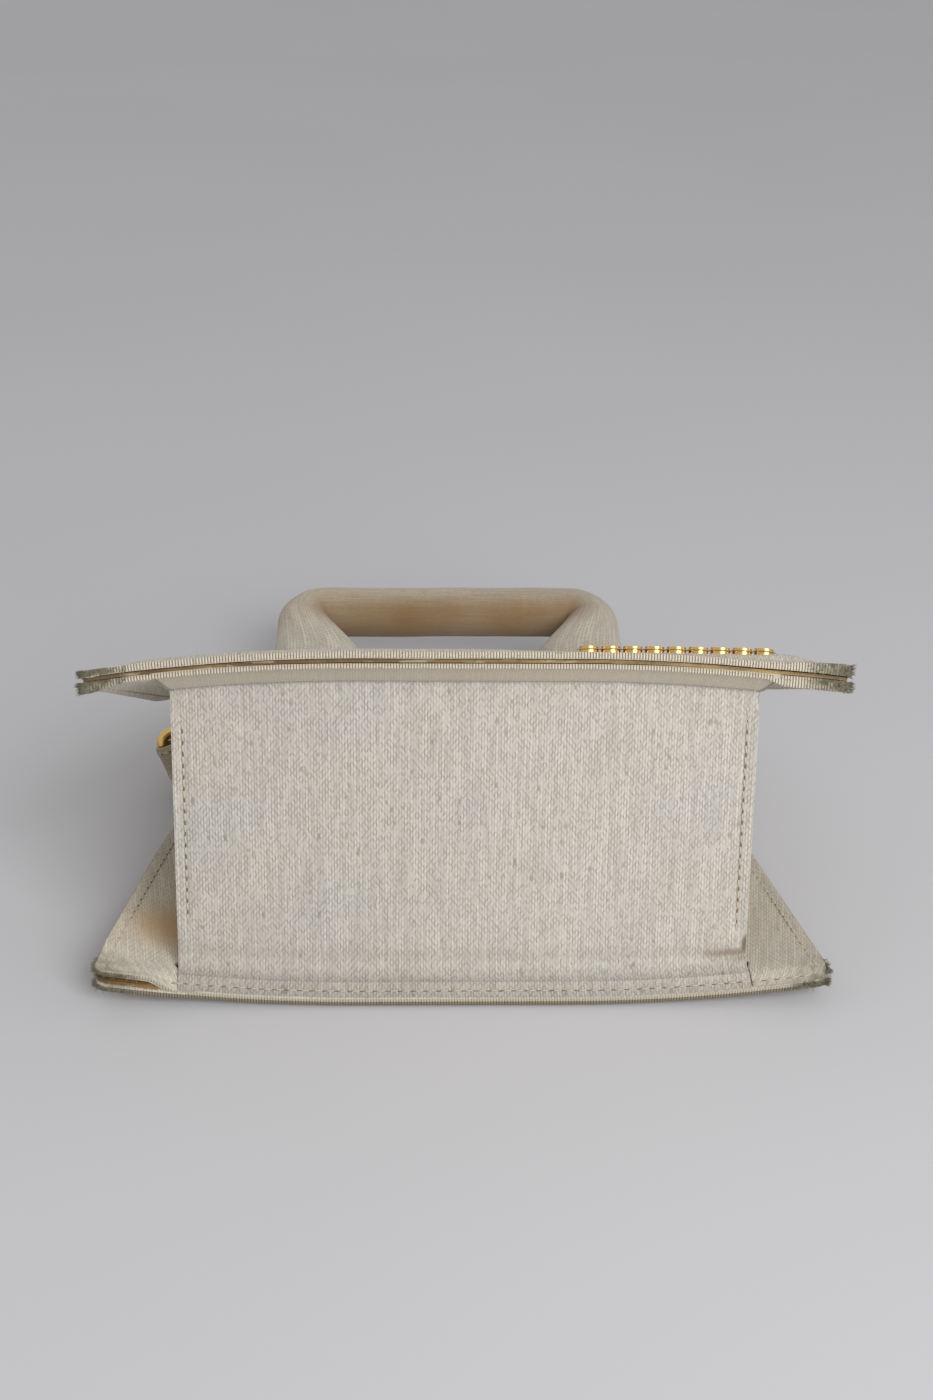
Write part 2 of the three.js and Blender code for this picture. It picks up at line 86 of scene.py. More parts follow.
# From the standing bag to the bag as it lies in the frame
layTurn = Matrix.Rotation(-(math.pi / 2 + bag["backTilt"]), 3, "X")
layShift = Vector((0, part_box("back_cover")[0].y + bag["backDepth"] * math.sin(bag["backTilt"]),
                   bag["backDepth"] * math.cos(bag["backTilt"])))


def lay(x, y, z):
    return layTurn @ Vector((x, y, z)) + layShift


# Turns what is built along z to a way of the standing bag
def upTo(way):
    return Vector((0, 0, 1)).rotation_difference(layTurn @ way).to_matrix().to_4x4()


# A matrix from three ways and a place
def placed(a, b, c, spot):
    return Matrix([[a[r], b[r], c[r], spot[r]] for r in range(3)] + [[0, 0, 0, 1]])


def mix(a, b, share):
    return a + (b - a) * share


# Even steps from one value to another, both included
def steps(a, b, count):
    return [mix(a, b, k / count) for k in range(count + 1)]


# The angles of a quarter turn in even steps
def quarter(count):
    return [math.pi / 2 * k / count for k in range(count + 1)]


# How far each point of a line is along it from the first
def arcs(points):
    lengths = [0]
    for a, b in zip(points, points[1:]):
        lengths.append(lengths[-1] + math.dist(a, b))
    return lengths


# The same line with its points at equal distances
def evenly(points, count):
    lengths = arcs(points)
    even, at = [], 0
    for s in steps(0, lengths[-1], count):
        while at < len(points) - 2 and lengths[at + 1] < s:
            at += 1
        share = (s - lengths[at]) / max(lengths[at + 1] - lengths[at], 1e-9)
        even.append(points[at].lerp(points[at + 1], min(max(share, 0), 1)))
    return even


def smooth(share):
    share = min(max(share, 0), 1)
    return share * share * (3 - 2 * share)


def halfWidth(z):
    return mix(bag["bottomWidth"], bag["topWidth"], z / bag["height"]) / 2


def gussetHalf(z):
    return mix(bag["baseWidth"], bag["gussetTop"], z / bag["height"]) / 2


def baseHalf(face, z, side):
    flare = bag["flareFront"] if face is frontFace else bag["flareBack"] * (1 if side > 0 else -0.6)
    return bag["baseWidth"] / 2 + flare * max(1 - z / bag["baseHeight"], 0)


def bow(x, z):
    share = max(abs(x) - bag["flatHalf"], 0) / (bag["bottomWidth"] / 2 - bag["flatHalf"])
    return bag["edgeBow"] * share ** 2 * mix(1, bag["bowAtTop"], z / bag["height"])


# What use has done to the panels. A bend is its most, the height that it grows over, and from where and
# over what height it fades. An opening is its most, its start, its length and its height
wear = {
    "frontBend": (3.6 * mm, 60 * mm, 60 * mm, 55 * mm),
    "backBend": (2.3 * mm, 12 * mm, 50 * mm, 50 * mm),
    "frontDroop": (0.6 * mm, 66 * mm, 24 * mm, 16 * mm),
    "frontOut": (1.3 * mm, 66 * mm, 24 * mm, 14 * mm),
    "frontInRight": (1.5 * mm, 69 * mm, 6 * mm, 7 * mm),
    "frontInLeft": (1.6 * mm, 79 * mm, 9 * mm, 7 * mm),
    "backIn": (1.0 * mm, 69.5 * mm, 8 * mm, 8 * mm),
    "rubbed": 0.75 * mm,
    "rubbedUpTo": 2.4 * mm,
    "rubbedFrom": -76 * mm,
    "rubbedOver": 14 * mm,
    "pressed": 1.9 * mm,
    "pressedUpTo": 5 * mm,
    "pressedFrom": 13 * mm,
    "pressedOver": 8 * mm,
    "frontCorner": 1.6 * mm,
    "backCorner": 3 * mm,
}


# The two left wings have given way to use: both bend toward each other beyond the gusset
def bent(x, z, most, rise, kept, fades):
    if x >= -gussetHalf(z):
        return 0
    share = (-x - gussetHalf(z)) / max(halfWidth(z) - gussetHalf(z), 1 * mm)
    return most * share ** 1.4 * min(z / rise, 1) * (1 - smooth((z - kept) / fades))


# Grows to its most from a place along the bottom edge, over a length, and fades out up to a height
def byTip(x, z, most, start, length, height):
    return most * smooth((x - start) / length) * (1 - smooth(z / height))


# The canvas of the front's tips has come loose from the board: the outer layer outward,
# the inner one inward
def puffed(x, z):
    return byTip(x, z, *wear["frontOut"])


def opened(x, z):
    return byTip(x, z, *wear["frontInRight"]) + byTip(-x, z, *wear["frontInLeft"])


# The back's bottom edge is rubbed round where the bag stands on it, but not by the left tip
def rubbedRound(x, z):
    low = 1 - smooth(z / wear["rubbedUpTo"])
    return wear["rubbed"] * low * smooth((x - wear["rubbedFrom"]) / wear["rubbedOver"])


def openedBack(x, z):
    return byTip(-x, z, *wear["backIn"])


def frontFace(x, z, inset=0):
    droop = bent(x, z, *wear["frontBend"]) - byTip(x, z, *wear["frontDroop"])
    return z * math.tan(bag["frontTilt"]) - bag["frontDepth"] + bow(x, z) + droop + inset


def backFace(x, z, inset=0):
    lift = bent(x, z, *wear["backBend"])
    return bag["backDepth"] - z * math.tan(bag["backTilt"]) - bow(x, z) - lift - inset


# The way off a panel's face toward the back, from its slopes over a small step
def backward(face, x, z, step):
    slopeX = (face(x + step, z) - face(x - step, z)) / (2 * step)
    slopeZ = (face(x, z + step) - face(x, z - step)) / (2 * step)
    return Vector((-slopeX, 1, -slopeZ))


# The canvas lining of the back panel is pressed down over the board's edge at the bottom,
# but not by the left tip, where the board shows
def pressedDown(x, z):
    low = 1 - smooth(z / wear["pressedUpTo"])
    fromLeft = x + bag["bottomWidth"] / 2 - wear["pressedFrom"]
    return wear["pressed"] * low * smooth(fromLeft / wear["pressedOver"])


# The place of a panel's point once its lower corners are worn round
def rounded(face, x, z):
    corner = wear["frontCorner"] if face is frontFace else wear["backCorner"]
    inX, inZ = corner - (halfWidth(z) - abs(x)), corner - z
    if inX <= 0 or inZ <= 0:
        return x, z
    share = max(inX, inZ) / math.hypot(inX, inZ)
    return math.copysign(halfWidth(z) - corner + inX * share, x), corner - inZ * share


# The slow unevenness that glueing and sewing leave in cloth
def uneven(x, z, seed, amount=0.15 * mm, size=24 * mm):
    return amount * noise.noise(Vector((x / size, z / size, seed)))


# How far a row of stitches pulls the cloth in, at a distance from it
def pulled(distance, depth=0.25 * mm, width=1.1 * mm):
    return depth * math.exp(-(distance / width) ** 2)


def deselectAll():
    if bpy.context.mode != "OBJECT":
        bpy.ops.object.mode_set(mode="OBJECT")
    bpy.ops.object.select_all(action="DESELECT")


# Adds a primitive under its own name
def fresh(add, name, **sizes):
    deselectAll()
    add(**sizes)
    piece = bpy.context.object
    piece.name = piece.data.name = name
    return piece


def activate(piece):
    deselectAll()
    piece.select_set(True)
    bpy.context.view_layer.objects.active = piece


def applyModifiers(piece):
    activate(piece)
    for modifier in list(piece.modifiers):
        bpy.ops.object.modifier_apply(modifier=modifier.name)


def shadeSmooth(piece, angle=40):
    activate(piece)
    bpy.ops.object.shade_smooth_by_angle(angle=math.radians(angle))


# A grid whose points are put in place one by one: at(column, row) gives a point of the standing bag
# and the same point on the flat cloth, which the weave follows
def sheet(name, columns, rows, at, outward=None):
    grid = {"x_subdivisions": columns, "y_subdivisions": rows, "size": 1}
    piece = fresh(bpy.ops.mesh.primitive_grid_add, name, **grid)
    flat = {}
    for vertex in piece.data.vertices:
        column, row = round((vertex.co.x + 0.5) * columns), round((vertex.co.y + 0.5) * rows)
        place, flat[vertex.index] = at(column, row)
        vertex.co = lay(*place)
    cloth = piece.data.uv_layers.active
    for loop in piece.data.loops:
        cloth.data[loop.index].uv = flat[loop.vertex_index]
    piece.data.update()
    if outward is not None:
        faces = piece.data.polygons
        seen = sum((face.normal * face.area for face in faces), Vector()).dot(layTurn @ Vector(outward))
        if seen < 0:
            piece.data.flip_normals()
    return piece


# The sheet gets its thickness inward, and its cut edges are rounded off
def thicken(piece, thickness, roundness=0.35 * mm):
    solid = piece.modifiers.new("Thickness", "SOLIDIFY")
    solid.thickness = thickness
    solid.offset = -1
    if roundness:
        bevel = piece.modifiers.new("Edges", "BEVEL")
        bevel.width = roundness
        bevel.segments = 2
        bevel.limit_method = "ANGLE"
        bevel.angle_limit = math.radians(50)
    applyModifiers(piece)
    shadeSmooth(piece)
    return piece


# Deletes the faces of a piece whose points pass a test
def deleteFaces(piece, chosen):
    activate(piece)
    for face in piece.data.polygons:
        face.select = chosen(face.vertices)
    bpy.context.tool_settings.mesh_select_mode = (False, False, True)
    bpy.ops.object.mode_set(mode="EDIT")
    bpy.ops.mesh.delete(type="FACE")
    bpy.ops.object.mode_set(mode="OBJECT")


# Sews a closed tube together from a sheet that was rolled up, and closes its ends if it has any
def sewTube(piece, closeEnds=True):
    activate(piece)
    bpy.ops.object.mode_set(mode="EDIT")
    bpy.ops.mesh.select_all(action="SELECT")
    bpy.ops.mesh.remove_doubles(threshold=0.002 * mm)
    if closeEnds:
        bpy.ops.mesh.fill_holes(sides=0)
    bpy.ops.mesh.select_all(action="SELECT")
    bpy.ops.mesh.normals_make_consistent(inside=False)
    bpy.ops.object.mode_set(mode="OBJECT")
    shadeSmooth(piece)


# Copies of one small piece, each with its own mesh, joined into one
def copiesOf(pattern, name, places):
    copies = []
    for place in places:
        copied = pattern.copy()
        copied.data = pattern.data.copy()
        copied.data.transform(place)
        bpy.context.scene.collection.objects.link(copied)
        copies.append(copied)
    deselectAll()
    for copied in copies:
        copied.select_set(True)
    bpy.context.view_layer.objects.active = copies[0]
    bpy.ops.object.join()
    joined = bpy.context.object
    joined.name = joined.data.name = name
    return joined


def discard(piece):
    bpy.data.objects.remove(piece, do_unlink=True)


# Materials. The helpers add their nodes to the tree that is being built
building = {}


def toLinear(hexColour):
    parts = [int(hexColour[k:k + 2], 16) / 255 for k in (0, 2, 4)]
    return (*[c / 12.92 if c <= 0.04045 else ((c + 0.055) / 1.055) ** 2.4 for c in parts], 1)


# Adds a node. Settings are its own, and sockets go by number or name and are set or linked
def addNode(kind, settings=None, sockets=None):
    tree = building["tree"]
    node = tree.nodes.new("ShaderNode" + kind)
    for key, value in (settings or {}).items():
        setattr(node, key, value)
    for key, value in (sockets or {}).items():
        if isinstance(value, bpy.types.NodeSocket):
            tree.links.new(value, node.inputs[key])
        else:
            node.inputs[key].default_value = value
    return node


# A material with its shader, the place in the object and the place on the flat cloth
def newMaterial(name, **shader):
    material = bpy.data.materials.new(name)
    material.use_nodes = True
    building["tree"] = material.node_tree
    bsdf = material.node_tree.nodes["Principled BSDF"]
    for key, value in shader.items():
        bsdf.inputs[key.replace("_", " ")].default_value = value
    spots = addNode("TexCoord")
    return material, bsdf, spots.outputs["Object"], spots.outputs["UV"]


def link(value, node, socket):
    building["tree"].links.new(value, node.inputs[socket])


# One step of arithmetic, on sockets or numbers
def maths(operation, a, b=0.0, clamp=False):
    return addNode("Math", {"operation": operation, "use_clamp": clamp}, {0: a, 1: b}).outputs[0]


def times(a, b):
    return maths("MULTIPLY", a, b)


# How far a value is from another, either way
def off(a, b):
    return maths("ABSOLUTE", maths("SUBTRACT", a, b))


# Mixes two colours, each a socket or a hex text
def mixColour(share, a, b, blend="MIX"):
    a, b = [toLinear(c) if isinstance(c, str) else c for c in (a, b)]
    return addNode("Mix", {"data_type": "RGBA", "blend_type": blend}, {0: share, 6: a, 7: b}).outputs[2]


# A smooth rise from one value to another while the input goes from low to high
def ranged(value, low, high, outLow=0.0, outHigh=1.0):
    sockets = {0: value, 1: low, 2: high, 3: outLow, 4: outHigh}
    return addNode("MapRange", {"interpolation_type": "SMOOTHSTEP"}, sockets).outputs[0]


def noiseAt(vector, scale, detail=2.0, stretch=None):
    if stretch:
        vector = addNode("Mapping", {}, {"Vector": vector, "Scale": stretch}).outputs[0]
    return addNode("TexNoise", {}, {"Vector": vector, "Scale": scale, "Detail": detail}).outputs[0]


def addBump(bsdf, height, distance):
    bump = addNode("Bump", {}, {"Height": height, "Distance": distance, "Strength": 1})
    link(bump.outputs[0], bsdf, "Normal")


def axis(vector, k):
    return addNode("SeparateXYZ", {}, {0: vector}).outputs[k]


def combined(x, y, z=0.0):
    return addNode("CombineXYZ", {}, {0: x, 1: y, 2: z}).outputs[0]


# A colour made lighter or darker by a factor
def lit(colour, light):
    grey = addNode("CombineColor", {}, {k: light for k in range(3)}).outputs[0]
    return mixColour(1.0, colour, grey, "MULTIPLY")


def vectorMaths(operation, a, b):
    return addNode("VectorMath", {"operation": operation}, {0: a, 1: b}).outputs[0]


# A share that rises toward a place, over a distance that each axis squeezes or stretches
def nearTo(place, centre, far, near, most=1.0, squeeze=(1, 1, 1)):
    away = vectorMaths("MULTIPLY", vectorMaths("SUBTRACT", place, centre), squeeze)
    away = addNode("VectorMath", {"operation": "LENGTH"}, {0: away}).outputs["Value"]
    return ranged(away, far, near, 0, most)


# Where handling and the floor have soiled the bag, and where shade is painted on it, as places in the frame
foldDepth = bag["flangeInner"] + bag["foldBack"]
soilAndShade = {
    "tips": [lay(89.5 * mm, face(90 * mm, 0, 2 * mm), 0) for face in (frontFace, backFace)],
    "tipReach": 13 * mm,
    "tipCore": 1 * mm,
    # A painted shadow, with soil, by the left gusset's seam on the back
    "seamShade": lay(-74 * mm, backFace(74 * mm, 26 * mm, 4 * mm), 24 * mm),
    "shadowAndSoilReach": 15 * mm,
    "shadowAndSoilCore": 2 * mm,
    # The crease and the pocket by the lower right corner are places of painted shade
    "crease": lay(68.5 * mm, backFace(68.5 * mm, 8 * mm, foldDepth) - 1.2 * mm, 7.2 * mm),
    "pocket": lay(69.7 * mm, backFace(69.7 * mm, 8 * mm, foldDepth) - 4.2 * mm, 7.5 * mm),
    "gripFrom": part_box("handle_cover")[1].y - 32 * mm,
    "gripTo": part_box("handle_cover")[1].y - 18 * mm,
    "gripInside": bag["handleRadius"] * (math.pi + 0.05),
    "gripFades": bag["handleRadius"] * 1.9,
    "gripFull": bag["handleRadius"] * 0.45,
}


# A share from 0 to 1 near the four lower corners, broken up like rubbed dirt
def tipSoil(place, more=1.0):
    folded = combined(maths("ABSOLUTE", axis(place, 0)), axis(place, 1), axis(place, 2))
    shares = [nearTo(folded, tip, soilAndShade["tipReach"], soilAndShade["tipCore"]) for tip in soilAndShade["tips"]]
    patches = ranged(noiseAt(place, 420, 3), 0.38, 0.62)
    return maths("MULTIPLY", maths("MAXIMUM", *shares), ranged(patches, 0, 1, 0.45 * more, more), True)


# Linen canvas, plain weave, its warp closer than its weft: each yarn goes over one and under the next,
# with its own thickness and tone, a few short slubs, small deep gaps between the crossings, and no shine.
# Each set of yarns has its rise at a crossing, its roundness and its lift over the other set
weave = {
    "pitch": 0.68 * mm,
    "weftPitch": 0.85 * mm,
    "jitter": 0.09 * mm,
    "relief": 0.08 * mm,
    "patch": 38,
    "warp": (0.13, 0.5, 0.22),
    "weft": (0.05, 0.1, 0.32),
}


# One set of yarns: the height of the cloth where they run, and their tone and thick places
def yarnSet(kind, across, along, way, seed, slubLength):
    rise, roundness, lift = weave[kind]
    number = maths("ROUND", across)
    wave, turn = [maths("COSINE", times(value, math.pi)) for value in (along, number)]
    over = maths("ADD", times(times(wave, turn), rise * way), lift)
    apart = times(number, 3.7)
    tone = noiseAt(combined(apart, times(along, 0.05), seed), 1.0, 1)
    lumps = noiseAt(combined(apart, maths("DIVIDE", along, slubLength), seed + 9), 1.0, 1)
    slubs = ranged(lumps, 0.62, 0.78)
    half = maths("ADD", ranged(tone, 0.3, 0.7, 0.41, 0.5), times(slubs, 0.12))
    away = maths("DIVIDE", maths("SUBTRACT", across, number), half)
    flat = maths("MAXIMUM", maths("SUBTRACT", 1.0, times(away, away)), 0.0)
    return maths("ADD", over, times(maths("SQRT", flat), roundness)), tone, slubs


# Painted light and shade of the base. Its cloth starts with the flange under the front panel, which is
# painted darker and warmer as shade
def paintedBaseShade(colour, place, cloth, frontFlangeShade, gap):
    x, y = axis(cloth, 0), axis(cloth, 1)
    colour = mixColour(ranged(y, 9 * mm, 7.6 * mm, 0, 0.7), colour, frontFlangeShade)
    # Painted light and shade: the base is darker toward its left end and lighter toward its right, as light
    # from the right makes it, and darker on its flange along the back panel
    paintedShading = times(ranged(x, -62 * mm, 45 * mm, 0.945, 1.025), ranged(y, 78 * mm, 91 * mm, 1, 0.82))
    colour = lit(colour, paintedShading)
    # Painted shade in the fold between the flange and the base, and in the slits at its two ends
    foldShade = ranged(off(y, 8.4 * mm), 0.7 * mm, 0.2 * mm, 0, 0.45)
    outward = maths("ADD", maths("ABSOLUTE", x), times(y, bag["flareFront"] / bag["baseHeight"]))
    slit = bag["baseWidth"] / 2 + bag["flareFront"]
    foldAndSlitShade = maths("MAXIMUM", foldShade, ranged(outward, slit - 0.7 * mm, slit - 0.3 * mm, 0, 0.8))
    colour = mixColour(times(foldAndSlitShade, ranged(y, 10 * mm, 9 * mm)), colour, gap)
    # Painted shade: the crease that runs in from the lower right corner is painted darkest there, with a
    # painted shadow in the pocket by it
    share = nearTo(place, soilAndShade["crease"], 2.2 * mm, 0.5 * mm, 0.85, (0.16, 1, 1))
    colour = mixColour(share, colour, "6a5a42")
    share = nearTo(place, soilAndShade["pocket"], 1.3 * mm, 0.5 * mm, 0.85, (1, 1, 0.33))
    colour = mixColour(share, colour, "5e4e38")
    # Painted shade: a soft dark band along the fold to the flange along the back panel
    return mixColour(ranged(off(y, 79.5 * mm), 2.4 * mm, 0.6 * mm, 0, 0.13), colour, gap)


def linenCanvas(name, yarn, gap, slub, shadowAndSoil=None, gripSoilAndShade=None, frontFlangeShade=None, slubShare=0.5, relief=1.0):
    look = {"Roughness": 0.95, "Sheen_Weight": 0.12, "Sheen_Roughness": 0.6, "Specular_IOR_Level": 0.2}
    material, bsdf, place, cloth = newMaterial(name, **look)
    strands = []
    for k, pitch in enumerate((weave["pitch"], weave["weftPitch"])):
        shift = times(maths("SUBTRACT", noiseAt(cloth, 150 + 40 * k, 2), 0.5), weave["jitter"] * 2)
        strands.append(times(maths("ADD", axis(cloth, k), shift), 1 / pitch))
    warp, *warpLook = yarnSet("warp", strands[0], strands[1], 1, 1, 4)
    weft, *weftLook = yarnSet("weft", strands[1], strands[0], -1, 5, 9)
    height, onWarp = maths("MAXIMUM", warp, weft), maths("GREATER_THAN", warp, weft)
    tone, slubs = [addNode("Mix", {"data_type": "FLOAT"}, {0: onWarp, 2: a, 3: b}).outputs[0]
                   for a, b in zip(weftLook, warpLook)]
    cell = combined(maths("FLOOR", strands[0]), maths("FLOOR", strands[1]))
    chance = addNode("TexWhiteNoise", {"noise_dimensions": "2D"}, {"Vector": cell}).outputs[0]
    patches = noiseAt(cloth, weave["patch"], 3)
    colour = mixColour(times(slubs, slubShare), yarn, slub)
    deep = times(ranged(height, 0.25, 0.9, 1, 0), ranged(chance, 0, 1, 0.15, 0.85))
    colour = mixColour(deep, colour, gap)
    tint = mixColour(ranged(patches, 0.3, 0.7), (1.02, 0.99, 0.965, 1), (0.975, 0.99, 0.995, 1))
    colour = mixColour(1.0, colour, tint, "MULTIPLY")
    colour = lit(colour, times(ranged(tone, 0.3, 0.7, 1.12, 0.9), ranged(chance, 0, 1, 0.97, 1.03)))
    # Painted shadow with soil: brown toward the left gusset's seam on the back
    if shadowAndSoil:
        share = nearTo(place, soilAndShade["seamShade"], soilAndShade["shadowAndSoilReach"], soilAndShade["shadowAndSoilCore"], 0.75)
        colour = mixColour(share, colour, shadowAndSoil)
    # The base gets its own painted light and shade
    if frontFlangeShade:
        colour = paintedBaseShade(colour, place, cloth, frontFlangeShade, gap)
    else:
        # Painted shade: the panels, the gussets and the handle are darker toward their right side
        colour = lit(colour, ranged(axis(place, 0), -60 * mm, 75 * mm, 1.0, 0.87))
    # Inside the arch of the handle's bar the canvas is painted brown: soil from the hands and painted shade
    if gripSoilAndShade:
        # The roll of the cloth starts at the outside of the arch, so half a turn is inside it
        held = ranged(axis(place, 1), soilAndShade["gripFrom"], soilAndShade["gripTo"])
        offInside = off(axis(cloth, 0), soilAndShade["gripInside"])
        inside = ranged(offInside, soilAndShade["gripFades"], soilAndShade["gripFull"], 0.2, 0.9)
        share = times(times(held, inside), ranged(patches, 0.3, 0.7, 0.8, 1.0))
        colour = mixColour(share, colour, gripSoilAndShade)
    link(mixColour(times(tipSoil(place), 0.8), colour, "6f6a58"), bsdf, "Base Color")
    fibres = times(noiseAt(cloth, 5200, 2), 0.2)
    addBump(bsdf, maths("ADD", height, fibres), weave["relief"] * relief)
    return material


# Linen cut across: a row of pale yarn ends with dark gaps, and the soil of the corners
def cutYarns(name, yarn, gap):
    material, bsdf, place, cloth = newMaterial(name, Roughness=0.9, Sheen_Weight=0.1)
    dome = maths("ABSOLUTE", maths("SINE", times(axis(cloth, 0), math.pi / weave["pitch"])))
    ends = noiseAt(cloth, 1.0, 2, (0.9 / weave["pitch"], 2000, 1))
    colour = mixColour(ranged(ends, 0.5, 0.75, 0, 0.6), yarn, gap)
    colour = mixColour(ranged(dome, 0.3, 0.8, 1, 0), colour, gap)
    link(mixColour(tipSoil(place, 1.9), colour, "6b6653"), bsdf, "Base Color")
    addBump(bsdf, noiseAt(place, 4000, 2), 0.08 * mm)
    return material


# Pressed fibre board with contact glue on its cut edge, streaked along the edge and covered by loose
# fibres here and there
def gluedBoard(name, left, right):
    material, bsdf, place, _ = newMaterial(name, Roughness=0.62)
    grains = noiseAt(place, 1500, 2)
    colour = mixColour(ranged(axis(place, 0), -40 * mm, 50 * mm), left, right)
    colour = mixColour(ranged(noiseAt(place, 90, 3, (1, 8, 8)), 0.35, 0.65), colour, "7d6234")
    colour = mixColour(ranged(grains, 0.5, 0.75, 0, 0.45), colour, "4a2f12")
    colour = mixColour(ranged(noiseAt(place, 150, 3, (1, 6, 6)), 0.56, 0.66, 0, 0.75), colour, "a89a7c")
    link(mixColour(tipSoil(place), colour, "5d4a2c"), bsdf, "Base Color")
    addBump(bsdf, grains, 0.1 * mm)
    return material


# Brushed cotton lining: a soft nap that is paler where it is rubbed up
def brushedCotton():
    look = {"Roughness": 1.0, "Sheen_Weight": 0.3, "Sheen_Roughness": 0.4}
    material, bsdf, place, _ = newMaterial("brushedCotton", **look)
    fine = noiseAt(place, 2600, 2)
    colour = mixColour(noiseAt(place, 95, 3), "cbbfa8", "ddd3bf")
    link(mixColour(ranged(fine, 0.4, 0.7, 0, 0.3), colour, "b5a88f"), bsdf, "Base Color")
    addBump(bsdf, fine, 0.1 * mm)
    return material


# A material whose one noise runs between two colours, with a roughness or a relief where it has them
def grainy(name, grainSize, low, high, rough=None, relief=None, fine=None, **shader):
    material, bsdf, place, _ = newMaterial(name, **shader)
    grain = noiseAt(place, *grainSize)
    link(mixColour(grain, low, high), bsdf, "Base Color")
    if rough:
        link(ranged(grain, *rough), bsdf, "Roughness")
    if relief:
        addBump(bsdf, noiseAt(place, *fine) if fine else grain, relief)
    return material


outerCanvas = linenCanvas("linenCanvasPanel", "cdc7bb", "91897a", "978e7c", shadowAndSoil="9a8460")
baseYarns = ("c3beb6", "7f786b", "8a806e")
baseCanvas = linenCanvas("linenCanvasBase", *baseYarns, frontFlangeShade="bcb19b", slubShare=0.65, relief=1.1)
gripCanvas = linenCanvas("linenCanvasHandle", "c9c2b4", "9c9482", "a0957f", gripSoilAndShade="87683f", relief=0.6)
foldedCanvas = linenCanvas("linenCanvasFolded", "cdc6b8", "989080", "968b77", shadowAndSoil="be9e71")
# The tabs: a darker copy of the same linen, as painted shade
tabCanvas = linenCanvas("linenCanvasTabsShaded", "a79b82", "7d725b", "8d816a", relief=0.7)
yarnEnds = cutYarns("linenYarnEnds", "cdc4b2", "6e6452")
quietEnds = cutYarns("linenYarnEndsPressed", "b5ad9c", "8d8370")
rubbedEnds = cutYarns("linenYarnEndsRubbed", "857c66", "4f4838")
looseFibres = cutYarns("linenLooseFibres", "a8a392", "77745f")
glued = gluedBoard("gluedFibreBoardFront", "5e431f", "a58a4c")
gluedBack = gluedBoard("gluedFibreBoardBack", "96702f", "8f7038")
cotton = brushedCotton()
# Twisted polyester sewing thread: a little shine on its twist
threadLook = {"relief": 0.05 * mm, "Roughness": 0.6, "Sheen_Weight": 0.1}
thread = grainy("polyesterThread", (3500, 1), "aaa18d", "c4bbaa", **threadLook)
# Painted shadow in the hole that a needle leaves: dark beads
holes = grainy("needleHoleShadow", (900, 2), "5c5342", "847a64", Roughness=1.0)
# Gold plated zinc, polished: sharp reflections, with the finest polishing haze
haze = {"rough": (0.3, 0.7, 0.2, 0.32), "relief": 0.004 * mm, "fine": (1800, 1)}
gold = grainy("goldPlatedZinc", (260, 3), "d6ab5c", "e6c47e", Metallic=1.0, **haze)
# Nickelled steel of the hidden screws, washers and magnets: brushed along, with soft reflections
brushed = (0.2, 0.8, 0.3, 0.42)
steel = grainy("nickelledSteel", (900, 2, (1, 1, 6)), "a9abac", "c6c6c2", brushed, Metallic=1.0)
# Wound cotton wadding inside the handle: soft pale lumps
wadding = grainy("cottonWadding", (300, 4), "d8d0bd", "efeadd", relief=0.5 * mm, Roughness=1.0)
# The floor: matt painted board in a slightly uneven pale grey
paintedBoard = grainy("mattPaintedBoard", (3.0, 2), "c4c4c8", "cccccf", Roughness=0.75)
print("materials made")


# Gives a piece its material, the CAD nodes that it stands for and the body that carries it
def dress(piece, material, slotName, body, *replaced):
    piece.data.materials.clear()
    piece.data.materials.append(material)
    if replaced:
        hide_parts(*replaced)
    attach(piece, body)


# The two panels: canvas glued over a board, cut raw at the sides and the bottom.
# The mouth is its width, its lower edge and its corner radius
panel = {
    "columns": 60,
    "rows": 46,
    "seamIn": 2.5 * mm,
    "lowSeam": 2.1 * mm,
    "mouth": (112 * mm, 92 * mm, 10 * mm),
    "extra": 0.12 * mm,
    "swell": 0.9 * mm,
    "swellFrom": 4 * mm,
    "swellKept": 16 * mm,
    "swellFades": 24 * mm,
    "swellHalf": 73 * mm,
    "swellEnds": 12 * mm,
    "swellIn": 6 * mm,
    "flatFrom": -5 * mm,
    "flatOver": 40 * mm,
    "flattened": 0.75,
    "pressed": 0.75,
}
edgeSteps = [d * mm for d in (0, 0.7, 1.4, 2.0, 2.5, 3.0, 3.7, 4.8, 6.5)]
spreadExtra = 2 * len(edgeSteps) - 2


# Places from low to high, closer together near both ends, where the seams run
def spread(low, high, inner):
    middle = steps(low + edgeSteps[-1], high - edgeSteps[-1], inner)[1:-1]
    return [low + d for d in edgeSteps] + middle + [high - d for d in reversed(edgeSteps)]


def stripMiddle():
    return (frontFace(0, bag["stripTop"]) + backFace(0, bag["stripTop"])) / 2


# A prism through the front half of the bag, with round lower corners
def tongueTool(width, bottom, corner):
    tool = fresh(bpy.ops.mesh.primitive_cube_add, "tongue_tool", size=1)
    top = bag["stripTop"] + corner
    for vertex in tool.data.vertices:
        x, y, z = vertex.co
        vertex.co = (x * width, mix(-100 * mm, stripMiddle(), y + 0.5), mix(bottom, top, z + 0.5))
    for edge in tool.data.edges:
        ends = [tool.data.vertices[k].co for k in edge.vertices]
        edge.select = abs(ends[0].y - ends[1].y) > 1 * mm and max(e.z for e in ends) < bottom + 0.1 * mm
    for face in tool.data.polygons:
        face.select = False
    activate(tool)
    bpy.context.tool_settings.mesh_select_mode = (False, True, False)
    bpy.ops.object.mode_set(mode="EDIT")
    bpy.ops.mesh.bevel(offset=corner, segments=10, affect="EDGES")
    bpy.ops.object.mode_set(mode="OBJECT")
    for vertex in tool.data.vertices:
        vertex.co = lay(*vertex.co)
    return tool


